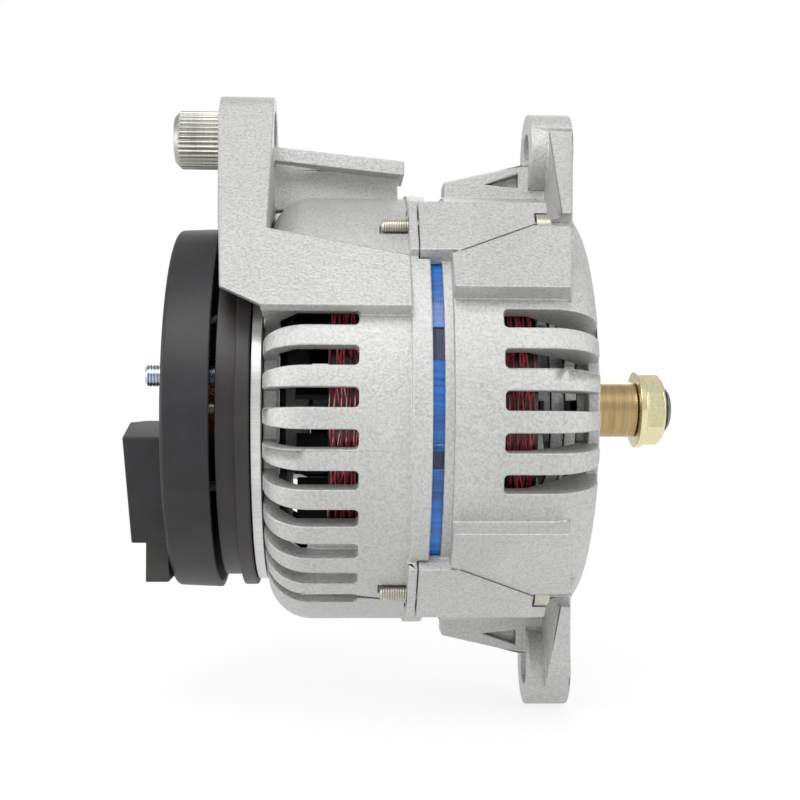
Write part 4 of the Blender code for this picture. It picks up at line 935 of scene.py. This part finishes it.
shield = rear_form(0)
shield = union(shield, lugs((-0.0442, -0.0413)), rear_ear_arch())
ends = [placed(rod(-0.0532, -0.0442, 0.0028, 24), angle, y=bolt_circle) for angle in bolt_angles]
shield = carved(carved(shield, lugs((-0.0413, -0.0337), 0.0006)), gathered(ends))
grooves = slot_cutters(rear_grooves, (-0.06, -0.0939), 0.055, 0.0753, slot_width)
shield = carved(shield, carved(grooves, rear_form(0.0045)))
shield = carved(shield, rear_hollow())
shield = carved(shield, slot_cutters(rear_slots, (-0.06, -0.0833), 0.055, 0.0753, slot_width))
shanks = [placed(rod(-0.0482, -0.0377, 0.0026, 24), angle, y=bolt_circle) for angle in bolt_angles]
shield = carved(shield, gathered(shanks))
casting = piece_from("rear_shield_casting", shield, sand_cast, "machine_frame", cast_edge, 2, ["rear_housing"])
# The faces of the rear shield that look inwards get painted shade.
darkens_inside(casting, painted_inner_shade, (-0.0878, -0.056), 0.0695, 1)


# Through bolts. Four cold headed socket screws of plated steel, put in from the drive end
# and tightened into the rear shield's lugs, so that their ends stand out behind.
plated_steel = surface("plated_bolt_steel", (0.62, 0.6, 0.52), (0.45, 0.43, 0.38), 0.0004, 0.35, 1, 0.000008)


for number, angle in enumerate(bolt_angles, start=1):
    bolt = spun(
        [
            (0.0016, 0),
            (0.0016, 0.0038),
            (0.0012, 0.0042),
            (-0.0032, 0.0042),
            (-0.0032, 0.0023),
            *ridges(-0.0522, -0.0412, 0.0023, 0.0008, 0.00028),
            (-0.0527, 0.0019),
            (-0.0527, 0),
        ],
        36,
    )
    bolt = carved(bolt, rod(-0.0014, 0.006, 0.0024, 6))
    bolt = placed(bolt, angle, y=bolt_circle)
    piece_from(f"socket_bolt_{number}", bolt, plated_steel, "machine_frame", 0.0001, 1, [f"through_bolt_{number}"])


# Rectifier. Pressed aluminium plates hold the diodes, with a moulded black ring between
# them, so both plates take the air drawn in past the cover's edge.
# The positive plate is coloured near-black as painted shade for the dark space under the cover.
shade_dark_plate = surface("painted_shade_plate", (0.05, 0.05, 0.052), (0.03, 0.03, 0.03), 0.0006, 0.4, 0.4, 0.00001)
plate_alloy = surface("pressed_plate_aluminium", (0.72, 0.72, 0.71), (0.6, 0.6, 0.6), 0.0006, 0.35, 0.85, 0.00001)
diode_nickel = surface("nickelled_diode_case", (0.6, 0.58, 0.55), (0.48, 0.46, 0.44), 0.0004, 0.3, 1, 0.000005)
ring_plastic = surface("moulded_ring_plastic", (0.03, 0.026, 0.024), (0.018, 0.016, 0.016), 0.0007, 0.45, 0, 0.00002)
dressed(shade_dark_plate, "positive_plate")
dressed(diode_nickel, *[f"diode_{number}" for number in range(1, 7)])
carrier = spun(
    [
        (-0.0939, 0.062),
        (-0.0983, 0.062),
        (-0.0983, 0.0585),
        (-0.1048, 0.0585),
        (-0.1048, 0.0557),
        (-0.0961, 0.0557),
        (-0.0961, 0.056),
        (-0.0939, 0.056),
    ],
    120,
)
piece_from("diode_carrier_ring", carrier, ring_plastic, "machine_frame", 0.0004, 2, ["rectifier_insulator"])
plate = spun([(-0.0902, 0.06), (-0.0936, 0.06), (-0.0936, 0.033), (-0.0902, 0.033)], 144)
wedge = [(0, 0), (0.064 * math.tan(math.radians(31)), 0.064), (-0.064 * math.tan(math.radians(31)), 0.064)]
plate = carved(plate, drawn(wedge, -0.0976, -0.0862))
seats = [placed(rod(-0.1, -0.086, 0.0067, 32), math.radians(angle), y=0.044) for angle in (184.5, 215.5, 254.5)]
plate = carved(plate, gathered(seats))
milled_alloy = surface("milled_plate_aluminium", (0.74, 0.74, 0.73), (0.58, 0.58, 0.58), 0.0005, 0.35, 0.85, 0.00002, (0.05, 1, 1))
piece_from("diode_seat_plate", plate, milled_alloy, "machine_frame", 0.0003, 1, ["negative_plate"])


# Brush gear. A moulded holder carries two carbon brushes in its wells, each pressed to its
# slip ring by a coil spring of steel wire.
carbon_block = surface("pressed_brush_carbon", (0.05, 0.048, 0.046), (0.03, 0.03, 0.03), 0.0003, 0.55, 0.2, 0.00001)
spring_wire = surface("drawn_spring_wire", (0.5, 0.5, 0.5), (0.38, 0.38, 0.38), 0.0003, 0.25, 1, 0.000004)
holder_plastic = surface("moulded_holder_plastic", (0.035, 0.03, 0.026), (0.02, 0.018, 0.017), 0.0005, 0.5, 0, 0.00001)
dressed(holder_plastic, "brush_holder")
dressed(carbon_block, "brush_outer", "brush_inner")
dressed(spring_wire, "brush_spring_outer", "brush_spring_inner")


# Rear cover. A cup moulded in black plastic, with a hood for the wiring drawn out of it. It
# clips over the shield's rim and is held by four screws.
cover_span = (-0.1214, -0.1062)
cover_side = 0.0628
cover_face = 0.0622
cover_bend = 0.0016
cover_skin = 0.0022
stud_place = (-0.036, 0.0105)
screw_circle = 0.04
screw_angles = [math.radians(angle) for angle in (48, 132, 180, 312)]
hood_back = -0.1366
hood_low = -0.0437
black_moulding = surface("grained_black_moulding", (0.016, 0.015, 0.018), (0.009, 0.0085, 0.0105), 0.00035, 0.5, 0, 0.00003)


def cup(drop, back, rim):
    bend = []
    for index in range(7):
        angle = math.pi / 2 * index / 6
        x = back + cover_bend * (1 - math.sin(angle))
        bend.append((x, cover_face - drop - cover_bend * (1 - math.cos(angle))))
    return spun([(rim, 0), (rim, cover_side - drop), *bend, (back, 0)], 120)


def hood_outline(wall, low):
    """The hood cut across: a flat top that falls away on the near side."""
    near, far, top = -0.04 + wall, 0.014 - wall, -0.005 - wall
    return [(near, low), (far, low), (far, top), (-0.022, top), (near, top - 0.0045)]


cover = cup(0, *cover_span)
hood = drawn(hood_outline(0, hood_low), hood_back, cover_span[0] + 0.006)
lean = [(hood_back - 0.004, -0.005), (hood_back, -0.005), (hood_back + 0.0036, hood_low), (hood_back + 0.0036, -0.05)]
lean += [(hood_back - 0.004, -0.05)]
cover = union(cover, carved(hood, drawn(lean, -0.05, 0.02, "Y")))
cover = carved(cover, cup(cover_skin, cover_span[0] + cover_skin, -0.1022))
cover = carved(cover, drawn(hood_outline(cover_skin, -0.0477), hood_back + 0.0058, cover_span[0] - 0.0003))
cover = carved(cover, drawn(hood_outline(cover_skin + 0.0003, hood_low + cover_skin), -0.1234, -0.1152))
cover = carved(cover, box_between((hood_back + 0.0058, -0.0313, -0.0579), (-0.1217, 0.0053, -0.0384)))
holes = [placed(rod(-0.1266, -0.1164, 0.0038, 32), y=stud_place[0], z=stud_place[1])]
holes += [placed(rod(-0.1266, -0.1164, 0.0022, 20), angle, y=screw_circle) for angle in screw_angles]
cover = carved(cover, gathered(holes))
piece_from("rear_cover_moulding", cover, black_moulding, "machine_frame", 0.0005, 2, ["rear_cover"])


# Signal connector. A rectangular socket moulded in dark plastic with three tin plated pins,
# pushed up into the hood from below until it clips.
connector_low = (-0.1297, -0.031, -0.0576)
connector_high = (-0.122, 0.005, -0.0387)
socket = box_between(connector_low, connector_high)
socket = carved(socket, box_between((-0.1282, -0.0295, -0.0616), (-0.1235, 0.0035, -0.0402)))
dark_socket = surface("dark_socket_plastic", (0.045, 0.04, 0.036), (0.028, 0.025, 0.023), 0.0004, 0.38, 0, 0.00002)
piece_from("signal_socket", socket, dark_socket, "machine_frame", 0.0004, 2, ["signal_connector"])
tin_plate = surface("tin_plated_pin", (0.7, 0.69, 0.66), (0.58, 0.57, 0.55), 0.0004, 0.25, 1, 0.000004)
for number, y in enumerate((-0.0225, -0.013, -0.0035), start=1):
    pin = box_between((-0.1263, y - 0.0014, -0.0532), (-0.1255, y + 0.0014, -0.0399))
    piece_from(f"signal_pin_{number}", pin, tin_plate, "machine_frame", 0.0002, 1)


# Battery stud and its nut. Turned and rolled steel with blue zinc plating, screwed into the
# positive plate, and standing out through the cover.
blue_zinc = surface("blue_zinc_plate", (0.62, 0.7, 0.8), (0.48, 0.56, 0.66), 0.0004, 0.25, 1, 0.000008)
stud = spun(
    [
        (-0.1023, 0),
        (-0.1023, 0.0035),
        *ridges(-0.1285, -0.1103, 0.0035, 0.001, 0.0004),
        (-0.1291, 0.0028),
        (-0.1291, 0),
    ],
    32,
)
piece_from("threaded_stud", placed(stud, y=stud_place[0], z=stud_place[1]), blue_zinc, "machine_frame", 0, 1, ["battery_stud"])
dressed(blue_zinc, "battery_stud_nut")


# Cover screws. Round headed screws of plated steel with a six lobed drive, which hold the
# cover to the positive plate.
for number, angle in enumerate(screw_angles, start=1):
    crown = [(-0.1235 + 0.0019 * (1 - math.cos(step * math.pi / 16)), 0.0042 * math.sin(step * math.pi / 16)) for step in range(9)]
    crown.reverse()
    crown = [(x, radius) for x, radius in crown if radius > 0.0001]
    head = spun([(-0.1217, 0), (-0.1217, 0.0042), *crown[1:], (-0.1234, 0)], 40)
    screw = union(head, rod(-0.1223, -0.1023, 0.0019, 20))
    lobes = [placed(rod(-0.125, -0.1223, 0.00055, 12), lobe * math.pi / 3, y=0.0012) for lobe in range(6)]
    screw = carved(carved(screw, rod(-0.125, -0.1223, 0.0014, 20)), gathered(lobes))
    screw = placed(screw, angle, y=screw_circle)
    piece_from(f"lobed_screw_{number}", screw, plated_steel, "machine_frame", 0, 1, [f"cover_screw_{number}"])


# Ear bush. A serrated sleeve turned from steel and pressed into the rear ear. It creeps
# along when the mounting bolt is drawn up.
bush_steel = surface("serrated_bush_steel", (0.5, 0.49, 0.46), (0.34, 0.33, 0.31), 0.0005, 0.38, 1, 0.000015, ring_marks)
teeth = 36
profile = []
for index in range(teeth):
    for share, radius in ((0, 0.0096), (0.3, 0.0102), (0.6, 0.0102), (0.9, 0.0096)):
        angle = 2 * math.pi * (index + share) / teeth
        profile.append((radius * math.cos(angle), radius * math.sin(angle)))
bush = drawn(profile, -0.1244, -0.0904)
limit = spun(
    [(-0.0901, 0), (-0.0901, 0.009), (-0.0916, 0.0105), (-0.122, 0.0105), (-0.1247, 0.0078), (-0.1247, 0)],
    64,
)
bush = carved(carved(bush, limit, "INTERSECT"), rod(-0.1284, -0.0864, 0.0064, 48))
piece_from("serrated_bush", placed(bush, z=rear_ear_height), bush_steel, "bush", 0.00025, 2, ["ear_bush"])


# Shaft sleeve. A spacer turned from steel tube and tempered golden brown, pushed on the
# shaft between the bearing and the pulley's seat.
sleeve_bronze = surface("tempered_sleeve_steel", (0.56, 0.42, 0.22), (0.38, 0.27, 0.13), 0.0006, 0.35, 0.9, 0.00001, ring_marks)
sleeve = spun([(0.0391, 0.0098), (0.02, 0.0098), (0.02, 0.0088), (0.0391, 0.0088)], 64)
piece_from("brown_sleeve", sleeve, sleeve_bronze, "rotor", 0.0003, 2, ["shaft_sleeve"])


# Pulley nut. A flanged hexagon nut, cold formed in steel with yellow zinc plating, screwed
# up on the shaft's thread.
yellow_plate = surface("yellow_zinc_plate", (0.86, 0.79, 0.5), (0.74, 0.68, 0.42), 0.0012, 0.24, 0.95, 0.000006)
hexagon = rod(0.0409, 0.0488, 0.0127, 6)
placed(hexagon, math.pi / 6)
limit = spun([(0.0491, 0), (0.0491, 0.0102), (0.0473, 0.0132), (0.0354, 0.0132), (0.0354, 0)], 72)
hexagon = carved(hexagon, limit, "INTERSECT")
flange = spun([(0.0423, 0), (0.0428, 0.0105), (0.0417, 0.0137), (0.0394, 0.0137), (0.0394, 0)], 72)
nut = carved(union(flange, hexagon), rod(0.0354, 0.0528, 0.0083, 48))
piece_from("flanged_nut", nut, yellow_plate, "rotor", 0.0003, 2, ["pulley_nut"])
